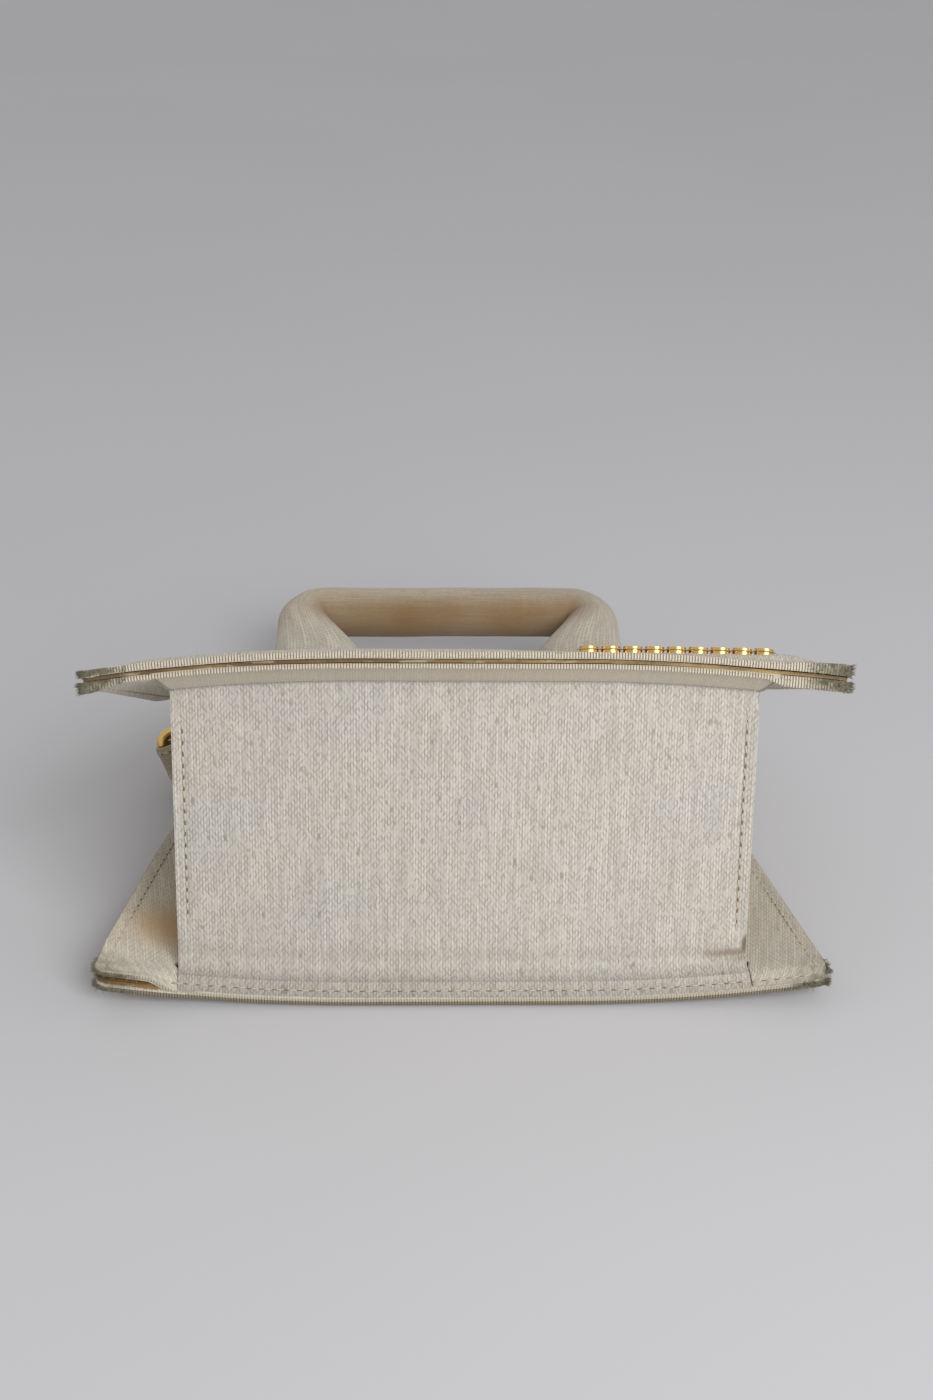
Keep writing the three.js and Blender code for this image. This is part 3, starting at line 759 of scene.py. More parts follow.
def shapeBy(piece, tool, operation):
    boolean = piece.modifiers.new("Shape", "BOOLEAN")
    boolean.operation = operation
    boolean.solver = "EXACT"
    boolean.object = tool
    applyModifiers(piece)
    discard(tool)


# How far the front canvas stands off its board by the bottom edge, where its bow is pressed flat
# at the right
def frontSwell(x, z, swell):
    low = smooth(z / panel["swellFrom"]) * (1 - smooth((z - panel["swellKept"]) / panel["swellFades"]))
    inward = 1 - smooth((abs(x) - panel["swellHalf"]) / panel["swellEnds"])
    even = swell * (1 - panel["flattened"] * smooth((x - panel["flatFrom"]) / panel["flatOver"]))
    return low * inward * (even + (panel["pressed"] * bow(x, z) if x > 0 else 0))


def panelCover(name, face, outward, bottomSeam, seed):
    def at(column, row):
        z = spread(0, bag["height"], panel["rows"])[row]
        side = halfWidth(z)
        x = spread(-side, side, panel["columns"])[column]
        fromSide = side - abs(x)
        dip = pulled(fromSide - panel["seamIn"])
        if face is frontFace:
            dip -= frontSwell(x, z, panel["swell"]) * smooth(fromSide / panel["swellIn"]) + puffed(x, z)
        if bottomSeam:
            dip = max(dip, pulled(z - panel["lowSeam"])) + rubbedRound(x, z)
        x, z = rounded(face, x, z)
        return (x, face(x, z, dip + uneven(x, z, seed)), z), (x, z)

    return sheet(name, panel["columns"] + spreadExtra, panel["rows"] + spreadExtra, at, outward)


backPanel = panelCover("back_panel_canvas", backFace, (0, 1, 0), True, 1)
thicken(backPanel, bag["cover"] + panel["extra"])
dress(backPanel, outerCanvas, "canvas", "bag_body", "back_cover")

frontPanel = panelCover("front_panel_canvas", frontFace, (0, -1, 0), False, 2)
thicken(frontPanel, bag["cover"] + panel["extra"], 0)
shapeBy(frontPanel, tongueTool(*panel["mouth"]), "DIFFERENCE")
shadeSmooth(frontPanel)
dress(frontPanel, outerCanvas, "canvas", "bag_body", "front_cover")

# The boards between the panels' canvas and its lining, a little shy of the cut edges
panelBoard = {
    "inset": 0.6 * mm,
    "tipInset": 0.1 * mm,
    "columns": 84,
    "rows": 60,
    "cutBack": 2.8 * mm,
    "magnet": 7.3 * mm,
    "magnetAt": 66 * mm,
}


def boardSheet(name, face, outward):
    inset = panelBoard["inset"]

    def at(column, row):
        share = mix(-1, 1, column / panelBoard["columns"])
        low = inset
        if face is backFace and pressedDown(share * bag["bottomWidth"] / 2, 0) > 0.7 * mm:
            low += panelBoard["cutBack"]
        elif face is backFace and share < 0:
            low = panelBoard["tipInset"]
        z = mix(low, bag["height"] - inset, row / panelBoard["rows"])
        x, z = rounded(face, share * (halfWidth(z) - inset), z)
        lift = openedBack(x, z) * 0.3 if face is backFace else 0
        return (x, face(x, z, bag["boardOuter"] + lift), z), (x, z)

    piece = sheet(name, panelBoard["columns"], panelBoard["rows"], at, outward)
    return thicken(piece, bag["board"], 0)


backBoard = boardSheet("back_panel_board", backFace, (0, 1, 0))
dress(backBoard, gluedBack, "board", "bag_body", "back_board")

frontBoard = boardSheet("front_panel_board", frontFace, (0, -1, 0))
width, bottom, corner = panel["mouth"]
mouthTool = tongueTool(width + 2 * panelBoard["inset"], bottom - panelBoard["inset"], corner)
shapeBy(frontBoard, mouthTool, "DIFFERENCE")
hole = {"vertices": 48, "radius": panelBoard["magnet"], "depth": 60 * mm}
magnetTool = fresh(bpy.ops.mesh.primitive_cylinder_add, "magnet_tool", **hole)
magnetTool.data.transform(Matrix.Rotation(math.pi / 2, 4, "X"))
for vertex in magnetTool.data.vertices:
    x, y, z = vertex.co
    vertex.co = lay(x, y + frontFace(0, panelBoard["magnetAt"]), z + panelBoard["magnetAt"])
shapeBy(frontBoard, magnetTool, "DIFFERENCE")
shadeSmooth(frontBoard)
dress(frontBoard, glued, "board", "bag_body", "front_board")
print("panels made")


# The base: one piece of canvas, folded out along both panels down to their bottom edges
base = {
    "columns": 88,
    "frontRadius": 1.3 * mm,
    "backRadius": 4.4 * mm,
    "webRows": 56,
    "sideSeam": 2.6 * mm,
    "sag": 0.5 * mm,
    "edgeRoll": 0.25 * mm,
    "crease": 1.1 * mm,
    "creaseWidth": 1.1 * mm,
    "creaseUp": 2 * mm,
    "creaseFrom": 56 * mm,
    "creaseGrows": 14 * mm,
    "flangeRows": 9,
    "foldRows": 7,
}


# The profile of the base at x, from the front's bottom edge round to the back's, as (y, z)
def baseProfile(x):
    def frontSide(z):
        return frontFace(x, z, bag["flangeInner"] + bag["foldFront"] * smooth(z / bag["baseHeight"]))

    def backSide(z):
        depth = bag["flangeInner"] + bag["foldBack"] * smooth(z / bag["baseHeight"]) - pressedDown(x, z)
        return backFace(x, z, depth - pulled(z - panel["lowSeam"]))

    top, near, far = bag["baseHeight"], base["frontRadius"], base["backRadius"]
    start, end = frontSide(top - near), backSide(top - far)
    points = [(frontSide(z), z) for z in steps(0, top - near, base["flangeRows"])[:-1]]
    for turn in quarter(base["foldRows"]):
        points.append((start + near * (1 - math.cos(turn)), top - near + near * math.sin(turn)))
    points += [(y, top) for y in steps(start + near, end - far, base["webRows"])[1:-1]]
    for turn in quarter(base["foldRows"]):
        points.append((end - far + far * math.sin(turn), top - far + far * math.cos(turn)))
    return points + [(backSide(z), z) for z in steps(top - far, 0, base["flangeRows"])[1:]]


baseRows = 2 * base["flangeRows"] + 2 * base["foldRows"] + base["webRows"]
firstWeb = base["flangeRows"] + base["foldRows"]
lastWeb = baseRows - firstWeb
baseArcs = arcs(baseProfile(0))
profiles = {}
baseEnd = bag["baseWidth"] / 2
baseShares = [x / baseEnd for x in spread(-baseEnd, baseEnd, base["columns"])]


def onBase(column, row):
    share = baseShares[column]
    if column not in profiles:
        profiles[column] = baseProfile(share * baseEnd)
    y, z = profiles[column][row]
    x = share * baseHalf(frontFace if row < baseRows / 2 else backFace, z, share)
    inWeb = min(max((row - firstWeb) / (lastWeb - firstWeb), 0), 1)
    web = smooth(min(inWeb, 1 - inWeb) * 6)
    inside = baseEnd * (1 - abs(share))
    dip = pulled(inside - base["sideSeam"]) * web
    roll = base["edgeRoll"] * smooth(1 - inside / base["sideSeam"]) * web
    sag = base["sag"] * math.sin(math.pi * inWeb) * (1 - share ** 2)
    # A crease runs in from the lower right corner along the fold
    offCrease = (baseArcs[row] - baseArcs[lastWeb] - base["creaseUp"]) / base["creaseWidth"]
    grown = smooth((x - base["creaseFrom"]) / base["creaseGrows"])
    z += dip - roll + sag + base["crease"] * grown * math.exp(-offCrease ** 2) + uneven(x, y, 3) * web
    return (x, y, z), (x, baseArcs[row])


basePiece = sheet("base_canvas", base["columns"] + spreadExtra, baseRows, onBase, (0, 0, -1))
thicken(basePiece, bag["flange"], 0.3 * mm)
dress(basePiece, baseCanvas, "canvas", "bag_body", "base_panel")
print("base made")


# The gussets: one piece of canvas each, whose flanges line the wings of both panels
gusset = {
    "radius": 1.4 * mm,
    "wingColumns": 12,
    "foldColumns": 5,
    "wallColumns": 26,
    "rows": 60,
    "frontSlit": 0.9 * mm,
    "backSlit": 0.3 * mm,
    "wallSag": 1.2 * mm,
    "wallFoot": 9.3 * mm,
}
gussetColumns = 2 * gusset["wingColumns"] + 2 * gusset["foldColumns"] + gusset["wallColumns"]
backWing = gussetColumns - gusset["wingColumns"]


# The gusset's outer face at a height: in along one wing, round the fold, along the wall and out again
def gussetProfile(z, side):
    wall, bend, edge = gussetHalf(z), gusset["radius"], halfWidth(z)
    slits = ((frontFace, gusset["frontSlit"]), (backFace, gusset["backSlit"] if side > 0 else 0))
    low = z < bag["baseHeight"]
    roots = [baseHalf(face, z, side) + slit if low else wall + bend for face, slit in slits]
    y0, y1 = [face(side * wall, z, bag["flangeInner"]) for face in (frontFace, backFace)]
    turns = quarter(gusset["foldColumns"])[1:]
    folds = [(wall + bend * (1 - math.sin(turn)), bend * (1 - math.cos(turn))) for turn in turns]
    wing = steps(edge, roots[0], gusset["wingColumns"])
    points = [(x, frontFace(side * x, z, bag["flangeInner"])) for x in wing]
    points += [(x, y0 + inward) for x, inward in folds]
    points += [(wall, y) for y in steps(y0 + bend, y1 - bend, gusset["wallColumns"])[1:-1]]
    points += [(x, y1 - inward) for x, inward in reversed(folds)]
    for x in steps(roots[1], edge, gusset["wingColumns"]):
        points.append((x, backFace(side * x, z, bag["flangeInner"] - pressedDown(side * x, z))))
    return points


def gussetPiece(side, word):
    low = edgeSteps + [8.0 * mm, gusset["wallFoot"]]
    heights = low + steps(low[-1], bag["height"], gusset["rows"] - len(low) + 1)[1:]
    profiles = [gussetProfile(z, side) for z in heights]
    lengths = [arcs(points) for points in profiles]

    def at(column, row):
        z = heights[row]
        x, y = profiles[row][column]
        flat = (lengths[row][column] - lengths[row][gussetColumns // 2], z)
        front, back = column <= gusset["wingColumns"], column >= backWing
        if front or back:
            dip = pulled(halfWidth(z) - x - panel["seamIn"])
            if back:
                dip = max(dip, pulled(z - panel["lowSeam"]))
            dip -= (opened if front else openedBack)(side * x, z)
            y += (-1 if front else 1) * (dip + uneven(x, z, 5 + side))
            x, z = rounded(frontFace if front else backFace, x, z)
        else:
            share = (column - gusset["wingColumns"]) / (backWing - gusset["wingColumns"])
            x -= gusset["wallSag"] * math.sin(math.pi * share) * smooth(z / bag["height"] * 3)
        return (side * x, y, z), flat

    # No wall below the base: there the flanges alone go on down the wings
    def underBase(points):
        rows = [k // (gussetColumns + 1) for k in points]
        columns = [k % (gussetColumns + 1) for k in points]
        return max(rows) < len(low) and min(columns) >= gusset["wingColumns"] and max(columns) <= backWing

    piece = sheet(f"gusset_{word}_canvas", gussetColumns, gusset["rows"], at, (side, 0, 0))
    deleteFaces(piece, underBase)
    thicken(piece, bag["flange"] + panel["extra"], 0.3 * mm)
    dress(piece, foldedCanvas, "canvas", "bag_body", f"gusset_{word}")


for side, word in hands:
    gussetPiece(side, word)
print("gussets made")


# Rows of cut yarn ends along the raw edges
edging = {"perYarn": 4, "around": 8, "reach": 0.26 * mm, "shy": 0.72}


# line(s) gives a place, the way out of the cut, the way across the layer and its thickness there
def yarnEdge(name, line, length, seed, material):
    dice = random.Random(seed)
    count = int(length / weave["pitch"])
    reach = [dice.uniform(0.75, 1.15) for _ in range(count + 1)]
    columns = count * edging["perYarn"]

    def at(column, row):
        s = length * column / columns
        yarn = column * count / columns
        dome = edging["shy"] + (1 - edging["shy"]) * abs(math.sin(math.pi * yarn)) ** 0.7
        place, out, across, thickness = line(s)
        turn = 2 * math.pi * row / edging["around"]
        far = edging["reach"] * dome * reach[int(yarn)]
        wide = thickness / 2 * (0.86 + 0.14 * dome)
        place = place + out * far * math.sin(turn) + across * wide * math.cos(turn)
        return place, (s, thickness / 2 * (1 - math.cos(turn)))

    piece = sheet(name, columns, edging["around"], at)
    sewTube(piece)
    dress(piece, material, "canvas", "bag_body")


# Each layer of a panel's edge: how deep its seen face lies, its thickness, and the way from there
# through the layer
edgeLayers = {
    "cover": (0, bag["cover"], 1),
    "flange": (bag["flangeInner"], bag["flange"], -1),
}
wide, tall, tipRound = bag["bottomWidth"], bag["height"], wear["backCorner"]


def nothing(x, z):
    return 0


# The middle of a layer's cut face, the way across it and its thickness there. The seen face is moved
# inward, and the layer grows by what it is thickened
def cutFace(face, layer, x, z, moved, thicker):
    depth, thickness, way = edgeLayers[layer]
    across = backward(face, x, z, 0.1 * mm).normalized() * (1 if face is frontFace else -1)
    more = thicker(x, z)
    seen = Vector((x, face(x, z, depth + moved(x, z) - way * more), z))
    return seen + across * way * (thickness + more) / 2, across, thickness + more


def bottomLine(face, layer, moved=nothing, thicker=nothing):
    def line(s):
        x, z = rounded(face, s - wide / 2, 0)
        fromCorner = Vector((x - math.copysign(wide / 2 - tipRound, x), 0, z - tipRound))
        out = fromCorner.normalized() if z > 0 else Vector((0, 0, -1))
        place, across, thickness = cutFace(face, layer, x, z, moved, thicker)
        return place, out, across, thickness
    return line


def sideLine(face, layer, side, moved=nothing, thicker=nothing):
    def line(s):
        x, z = rounded(face, side * halfWidth(s), s)
        place, across, thickness = cutFace(face, layer, x, z, moved, thicker)
        return place, Vector((side, 0, 0)), across, thickness
    return line


def liftedInside(x, z):
    return openedBack(x, z) - pressedDown(x, z)


outerFront = bottomLine(frontFace, "cover", thicker=puffed)
innerFront = bottomLine(frontFace, "flange", thicker=opened)
outerBack = bottomLine(backFace, "cover", thicker=lambda x, z: -0.8 * rubbedRound(x, z))
innerBack = bottomLine(backFace, "flange", liftedInside)
yarnEdge("front_bottom_outer_yarns", outerFront, wide, 11, yarnEnds)
yarnEdge("front_bottom_inner_yarns", innerFront, wide, 12, yarnEnds)
yarnEdge("back_bottom_outer_yarns", outerBack, wide, 11, rubbedEnds)
yarnEdge("back_bottom_inner_yarns", innerBack, wide, 12, quietEnds)

# Loose fibres at the tips of the cut edges, up to a distance along the bottom and up the sides
frays = {"root": 0.09 * mm, "end": 0.03 * mm, "long": 1.5 * mm, "perEdge": 90, "along": 11 * mm, "up": 6 * mm}
cone = {"vertices": 4, "radius1": frays["root"], "radius2": frays["end"], "depth": frays["long"]}
fibre = fresh(bpy.ops.mesh.primitive_cone_add, "loose_fibre", **cone)
fibre.data.transform(Matrix.Translation((0, 0, frays["long"] / 2)))


# Places of loose fibres along a cut edge, thickest where s is low
def fibresAlong(line, low, high, dice):
    places = []
    for _ in range(frays["perEdge"]):
        place, out, across, thickness = line(mix(low, high, dice.random() ** 1.6))
        place = place + across * thickness * dice.uniform(-0.5, 0.5)
        way = (out + Vector([dice.uniform(-0.7, 0.7) for _ in range(3)])).normalized()
        length = Matrix.Diagonal((1, 1, dice.uniform(0.3, 1), 1))
        places.append(Matrix.Translation(lay(*place)) @ upTo(way) @ length)
    return places


sideEdges = {
    "front": (frontFace, nothing, puffed, opened, (outerFront, innerFront)),
    "back": (backFace, openedBack, nothing, nothing, (outerBack, innerBack)),
}
for word, (face, moved, outerGrows, innerGrows, low) in sideEdges.items():
    for side, hand in hands:
        outer = sideLine(face, "cover", side, thicker=outerGrows)
        inner = sideLine(face, "flange", side, moved, innerGrows)
        yarnEdge(f"{word}_{hand}_outer_yarns", outer, tall, 13, yarnEnds)
        yarnEdge(f"{word}_{hand}_inner_yarns", inner, tall, 14, yarnEnds)
        dice = random.Random(f"{word}{hand}")
        tip, inTip = (wide, wide - frays["along"]) if side > 0 else (0, frays["along"])
        places = [spot for line in low for spot in fibresAlong(line, tip, inTip, dice)]
        places += [spot for line in (outer, inner) for spot in fibresAlong(line, 0, frays["up"], dice)]
        dress(copiesOf(fibre, f"{word}_{hand}_tip_fibres", places), looseFibres, "canvas", "bag_body")
discard(fibre)
print("cut edges made")


# The flap over the mouth: canvas, board and lining, with round lower corners
flap = {
    "width": 132 * mm,
    "bottom": 56 * mm,
    "corner": 12 * mm,
    "lining": 0.7 * mm,
    "board": 0.5 * mm,
    "canvas": 1.2 * mm,
    "columns": 70,
    "rows": 40,
    "seamIn": 2.8 * mm,
    "roll": 0.3 * mm,
    "rollIn": 1.5 * mm,
}
flap["liningOut"] = bag["gap"] + flap["lining"]
flap["canvasOut"] = flap["liningOut"] + flap["board"] + 2 * bag["gap"] + flap["canvas"]


# How far a place is inside the flap's outline
def insideFlap(x, z):
    half, corner = flap["width"] / 2, flap["corner"]
    sideways, upward = half - abs(x), z - flap["bottom"]
    if sideways < corner and upward < corner:
        return corner - math.hypot(corner - sideways, corner - upward)
    return min(sideways, upward)


def flapSheet(name, out, thickness, seed, seam):
    def at(column, row):
        z = spread(flap["bottom"] - 1 * mm, bag["stripTop"], flap["rows"])[row]
        half = flap["width"] / 2 + 1 * mm
        x = spread(-half, half, flap["columns"])[column]
        inside = insideFlap(x, z)
        dip = 0
        if seam:
            dip = pulled(inside - flap["seamIn"]) + flap["roll"] * smooth(1 - inside / flap["rollIn"])
        return (x, frontFace(x, z, -out + dip + uneven(x, z, seed)), z), (x, z)

    piece = sheet(name, flap["columns"] + spreadExtra, flap["rows"] + spreadExtra, at, (0, -1, 0))
    thicken(piece, thickness, 0)
    shapeBy(piece, tongueTool(flap["width"], flap["bottom"], flap["corner"]), "INTERSECT")
    shadeSmooth(piece)
    return piece


flapCanvas = flapSheet("flap_canvas", flap["canvasOut"], flap["canvas"], 7, True)
dress(flapCanvas, outerCanvas, "canvas", "flap", "flap_cover")
flapCotton = flapSheet("flap_lining_cloth", flap["liningOut"], flap["lining"], 8, False)
dress(flapCotton, cotton, "lining", "flap", "flap_lining")


# The canvas that hinges the flap: from the top strip over the edge
hinge = {
    "back": 9 * mm,
    "thickness": 0.35 * mm,
    "lift": 0.1 * mm,
    "halfBend": 1.6 * mm,
    "half": flap["width"] / 2 - 0.6 * mm,
    "columns": 60,
    "rows": 16,
    "y": frontFace(0, bag["stripTop"]) - bag["gap"] / 2,
    "front": flap["canvasOut"] - bag["gap"] / 2,
}


def onHinge(column, row):
    x = mix(-1, 1, column / hinge["columns"]) * hinge["half"]
    away = mix(-hinge["front"], hinge["back"], row / hinge["rows"])
    y = frontFace(x, bag["stripTop"]) + away
    return (x, y, bag["stripTop"] + hinge["lift"] + hinge["thickness"]), (x, away)


hingeCloth = sheet("flap_hinge_canvas", hinge["columns"], hinge["rows"], onHinge, (0, 0, 1))
thicken(hingeCloth, hinge["thickness"], 0)
hingeCloth.data.materials.append(outerCanvas)
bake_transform(hingeCloth)
print("flap made")


# The top strip that carries the handle
strip = {
    "canvas": 1.3 * mm,
    "lining": 0.8 * mm,
    "liningTop": 131.1 * mm,
    "columns": 70,
    "rows": 14,
    "seamIn": 2.5 * mm,
}


def stripSheet(name, top, thickness, seam, seed):
    def at(column, row):
        half = bag["topWidth"] / 2
        x = spread(-half, half, strip["columns"])[column]
        y = spread(frontFace(x, top), backFace(x, top), strip["rows"])[row]
        edge = min(y - frontFace(x, top), backFace(x, top) - y, half - abs(x))
        dip = pulled(edge - strip["seamIn"]) if seam else 0
        return (x, y, top - dip - 0.5 * uneven(x, y, seed)), (x, y)

    piece = sheet(name, strip["columns"] + spreadExtra, strip["rows"] + spreadExtra, at, (0, 0, 1))
    return thicken(piece, thickness)


stripCanvas = stripSheet("top_strip_canvas", bag["stripTop"], strip["canvas"], True, 9)
dress(stripCanvas, outerCanvas, "canvas", "bag_body", "top_cover")
stripCotton = stripSheet("top_strip_lining", strip["liningTop"], strip["lining"], False, 10)
dress(stripCotton, cotton, "lining", "bag_body", "top_lining")
print("top strip made")


# The handle: canvas rolled round a firm filling, its legs widening to the strip, with a lapped seam
# inside the arch. Its foot is pressed in, clear of the open flap
handle = {
    "width": 111 * mm,
    "rise": 66.5 * mm,
    "radius": bag["handleRadius"],
    "feet": (14.6 * mm, 7.7 * mm),
    "corner": 9 * mm,
    "lean": math.radians(16.3),
    "flareBottom": 23 * mm,
    "flareTop": 56 * mm,
    "forward": 1.5 * mm,
    "buried": 2.6 * mm,
    "legSteps": 30,
    "cornerSteps": 20,
    "barSteps": 20,
    "around": 48,
    "lap": 0.4 * mm,
    "lapAt": math.pi - 0.98,
    "pressed": 0.15 * mm,
    "pressedUpTo": 9 * mm,
    "lumps": (0.25 * mm, 14 * mm),
}
handle["outer"] = handle["corner"] + handle["radius"]
handle["leg"] = handle["rise"] - handle["outer"]
handle["foot"] = bag["stripTop"] + bag["gap"]
handle["middle"] = stripMiddle() - handle["forward"]


# Half the handle's width and depth at a height
def handleRadii(z):
    rise = smooth((z - handle["flareBottom"]) / (handle["flareTop"] - handle["flareBottom"]))
    return [mix(foot, handle["radius"], rise) for foot in handle["feet"]]


# The handle from the right foot to the left. Each step is a middle and the way out of the arch in the
# arch's own plane, and half the handle's width and depth there
def handleSteps():
    half, leg, outer = handle["width"] / 2, handle["leg"], handle["outer"]
    spots = [(half, z, 0, handleRadii(z)) for z in steps(-handle["buried"], leg, handle["legSteps"])[:-1]]
    for turn in quarter(handle["cornerSteps"]):
        x, z = half - outer * (1 - math.cos(turn)), leg + outer * math.sin(turn)
        spots.append((x, z, turn, handleRadii(leg + handle["corner"] * math.sin(turn))))
    for x in steps(half - outer, 0, handle["barSteps"])[1:]:
        spots.append((x, handle["rise"], math.pi / 2, [handle["radius"]] * 2))
    right = []
    for x, z, turn, radii in spots:
        outward = Vector((math.cos(turn), 0, math.sin(turn)))
        right.append((Vector((x, 0, z)) - outward * radii[0], outward, radii))
    left = []
    for middle, outward, radii in reversed(right[:-1]):
        left.append((Vector((-middle.x, 0, middle.z)), Vector((-outward.x, 0, outward.z)), radii))
    return right + left


handlePath = handleSteps()
handleTurn = Matrix.Rotation(handle["lean"], 3, "X")


# Turn 0 is outside the arch, half a turn is inside, and the cloth's edge is glued down a little behind that
def onHandle(column, row):
    middle, outward, (across, depth) = handlePath[row]
    turn, radius = 2 * math.pi * column / handle["around"], handle["radius"]
    pastLap = turn - handle["lapAt"]
    lap = handle["lap"] * smooth(pastLap / 0.14) * smooth((1.4 - pastLap) / 1.2)
    pressed = 1 - smooth(middle.z / handle["pressedUpTo"])
    swell = uneven(row * 2 * mm + radius * math.cos(turn), radius * math.sin(turn), 21, *handle["lumps"])
    grow = swell * (1 - pressed) - handle["pressed"] * pressed + lap
    place = middle + outward * (across + grow) * math.cos(turn)
    place += Vector((0, 1, 0)) * (depth + grow) * math.sin(turn)
    place = handleTurn @ place + Vector((0, handle["middle"], handle["foot"]))
    return place, (turn * radius, row * 1.9 * mm)


handlePiece = sheet("handle_canvas", handle["around"], len(handlePath) - 1, onHandle)
sewTube(handlePiece)
dress(handlePiece, gripCanvas, "canvas", "bag_body", "handle_cover")
print("handle made")


# The lining: a sack of brushed cotton, open at the mouth, and its slip pocket
sack = {
    "bottom": 11.3 * mm,
    "top": 129.7 * mm,
    "inset": bag["flangeOuter"],
    "sideGap": bag["flange"] + bag["gap"],
    "cuts": 15,
    "slack": 0.35 * mm,
}
lining = fresh(bpy.ops.mesh.primitive_cube_add, "lining_sack", size=1)
bpy.ops.object.mode_set(mode="EDIT")
bpy.ops.mesh.subdivide(number_cuts=sack["cuts"])
bpy.ops.object.mode_set(mode="OBJECT")
topPoints = {vertex.index for vertex in lining.data.vertices if vertex.co.z > 0.499}
for vertex in lining.data.vertices:
    a, b, c = vertex.co
    z = mix(sack["bottom"], sack["top"], c + 0.5)
    x = 2 * a * (gussetHalf(z) - sack["sideGap"])
    y = mix(frontFace(x, z, sack["inset"]), backFace(x, z, sack["inset"]), b + 0.5)
    slack = abs(uneven(x + y, z, 30, sack["slack"], 30 * mm))
    vertex.co = lay(x * (1 - slack / bag["topWidth"]), y - slack * 2 * b, z)
deleteFaces(lining, lambda points: topPoints.issuperset(points))
thicken(lining, bag["lining"], 0)
shapeBy(lining, tongueTool(*panel["mouth"]), "DIFFERENCE")
shadeSmooth(lining)
dress(lining, cotton, "lining", "bag_body", "lining")

slip = {"width": 84 * mm, "bottom": 36 * mm, "top": 88 * mm, "thickness": 0.9 * mm, "columns": 40, "rows": 24}
slip["inset"] = sack["inset"] + bag["lining"] + bag["gap"] + slip["thickness"]


def onPocket(column, row):
    x = mix(-1, 1, column / slip["columns"]) * slip["width"] / 2
    z = mix(slip["bottom"], slip["top"], row / slip["rows"])
    belly = 0.5 * mm * smooth(row / slip["rows"]) * math.cos(math.pi * x / slip["width"])
    return (x, backFace(x, z, slip["inset"] + belly), z), (x, z)


pocket = sheet("inner_pocket_cloth", slip["columns"], slip["rows"], onPocket, (0, -1, 0))
thicken(pocket, slip["thickness"], 0.3 * mm)
dress(pocket, cotton, "lining", "bag_body", "inner_pocket")
print("lining made")


# The tab and the ring at each side
ring = {
    "height": 106 * mm,
    "width": 10.5 * mm,
    "thickness": 1.2 * mm,
    "rod": 1.6 * mm,
    "reach": 13 * mm,
    "corner": 2.4 * mm,
    "barOut": 21 * mm,
    "plyRise": 1.5 * mm,
    "plyLift": 0.8 * mm,
    "hang": 2.4 * mm,
    "slack": 0.8 * mm,
    "trim": 2.8 * mm,
    "droop": math.radians(24),
    "pathSteps": 70,
    "acrossSteps": 14,
    "seamIn": 1.7 * mm,
    "rows": 96,
    "around": 20,
}
ring["pin"] = ring["rod"] + bag["gap"] + ring["thickness"] / 2
ring["half"] = ring["width"] / 2 + bag["gap"] + ring["rod"]
ring["middle"] = (frontFace(0, ring["height"]) + backFace(0, ring["height"])) / 2
gussetLean = math.atan((bag["baseWidth"] - bag["gussetTop"]) / 2 / bag["height"])


# How far a place of the tab's own frame is out of the gusset, and how far behind the tab's middle
def drooped(out, across):
    turn = ring["droop"]
    return out * math.cos(turn) - across * math.sin(turn), out * math.sin(turn) + across * math.cos(turn)


# From the tab's own frame to the standing bag: out of the gusset, down through the plies, across the tab
def offGusset(side, out, below, across):
    outward, back = drooped(out, across)
    x = gussetHalf(ring["height"]) + outward * math.cos(gussetLean) + below * math.sin(gussetLean)
    z = ring["height"] + outward * math.sin(gussetLean) - below * math.cos(gussetLean)
    return Vector((side * x, ring["middle"] + back, z))


# The line of the tab's middle, from the gusset under the ring's bar, round it and back on top
def tabLine():
    low, high = ring["pin"] + ring["slack"], -ring["plyRise"]
    out, lift = ring["barOut"], ring["plyLift"]
    corners = [
        (-ring["trim"], low - lift), (out * 0.45, low - lift / 2), (out * 0.8, low + ring["hang"]),
        (out + lift, low + ring["hang"] / 2), (out + ring["pin"], 0), (out + 0.2 * mm, -ring["pin"]),
        (out * 0.75, high), (out * 0.4, high), (-ring["trim"], high - lift / 2),
    ]
    curve = fresh(bpy.ops.curve.primitive_bezier_curve_add, "tab_line")
    spline = curve.data.splines[0]
    spline.bezier_points.add(len(corners) - 2)
    for point, (x, y) in zip(spline.bezier_points, corners):
        point.co = (x, y, 0)
        point.handle_left_type = point.handle_right_type = "AUTO"
    curve.data.resolution_u = 24
    curve.data.update_tag()
    bpy.context.view_layer.update()
    fine = [vertex.co.copy() for vertex in curve.to_mesh().vertices]
    curve.to_mesh_clear()
    discard(curve)
    return evenly(fine, 400)


tabPath = tabLine()


# The tab's line at a distance across it, as (middle, way out of the loop), cut off at the gusset
def tabAcross(across, count):
    inside = [k for k, p in enumerate(tabPath) if drooped(p.x, across)[0] >= bag["gap"]]
    spots = []
    for at in steps(inside[0], inside[-1], count):
        first = min(int(at), len(tabPath) - 2)
        along = (tabPath[min(first + 2, len(tabPath) - 1)] - tabPath[max(first - 1, 0)]).normalized()
        spots.append((tabPath[first].lerp(tabPath[first + 1], at - first), Vector((along.y, -along.x, 0))))
    return spots


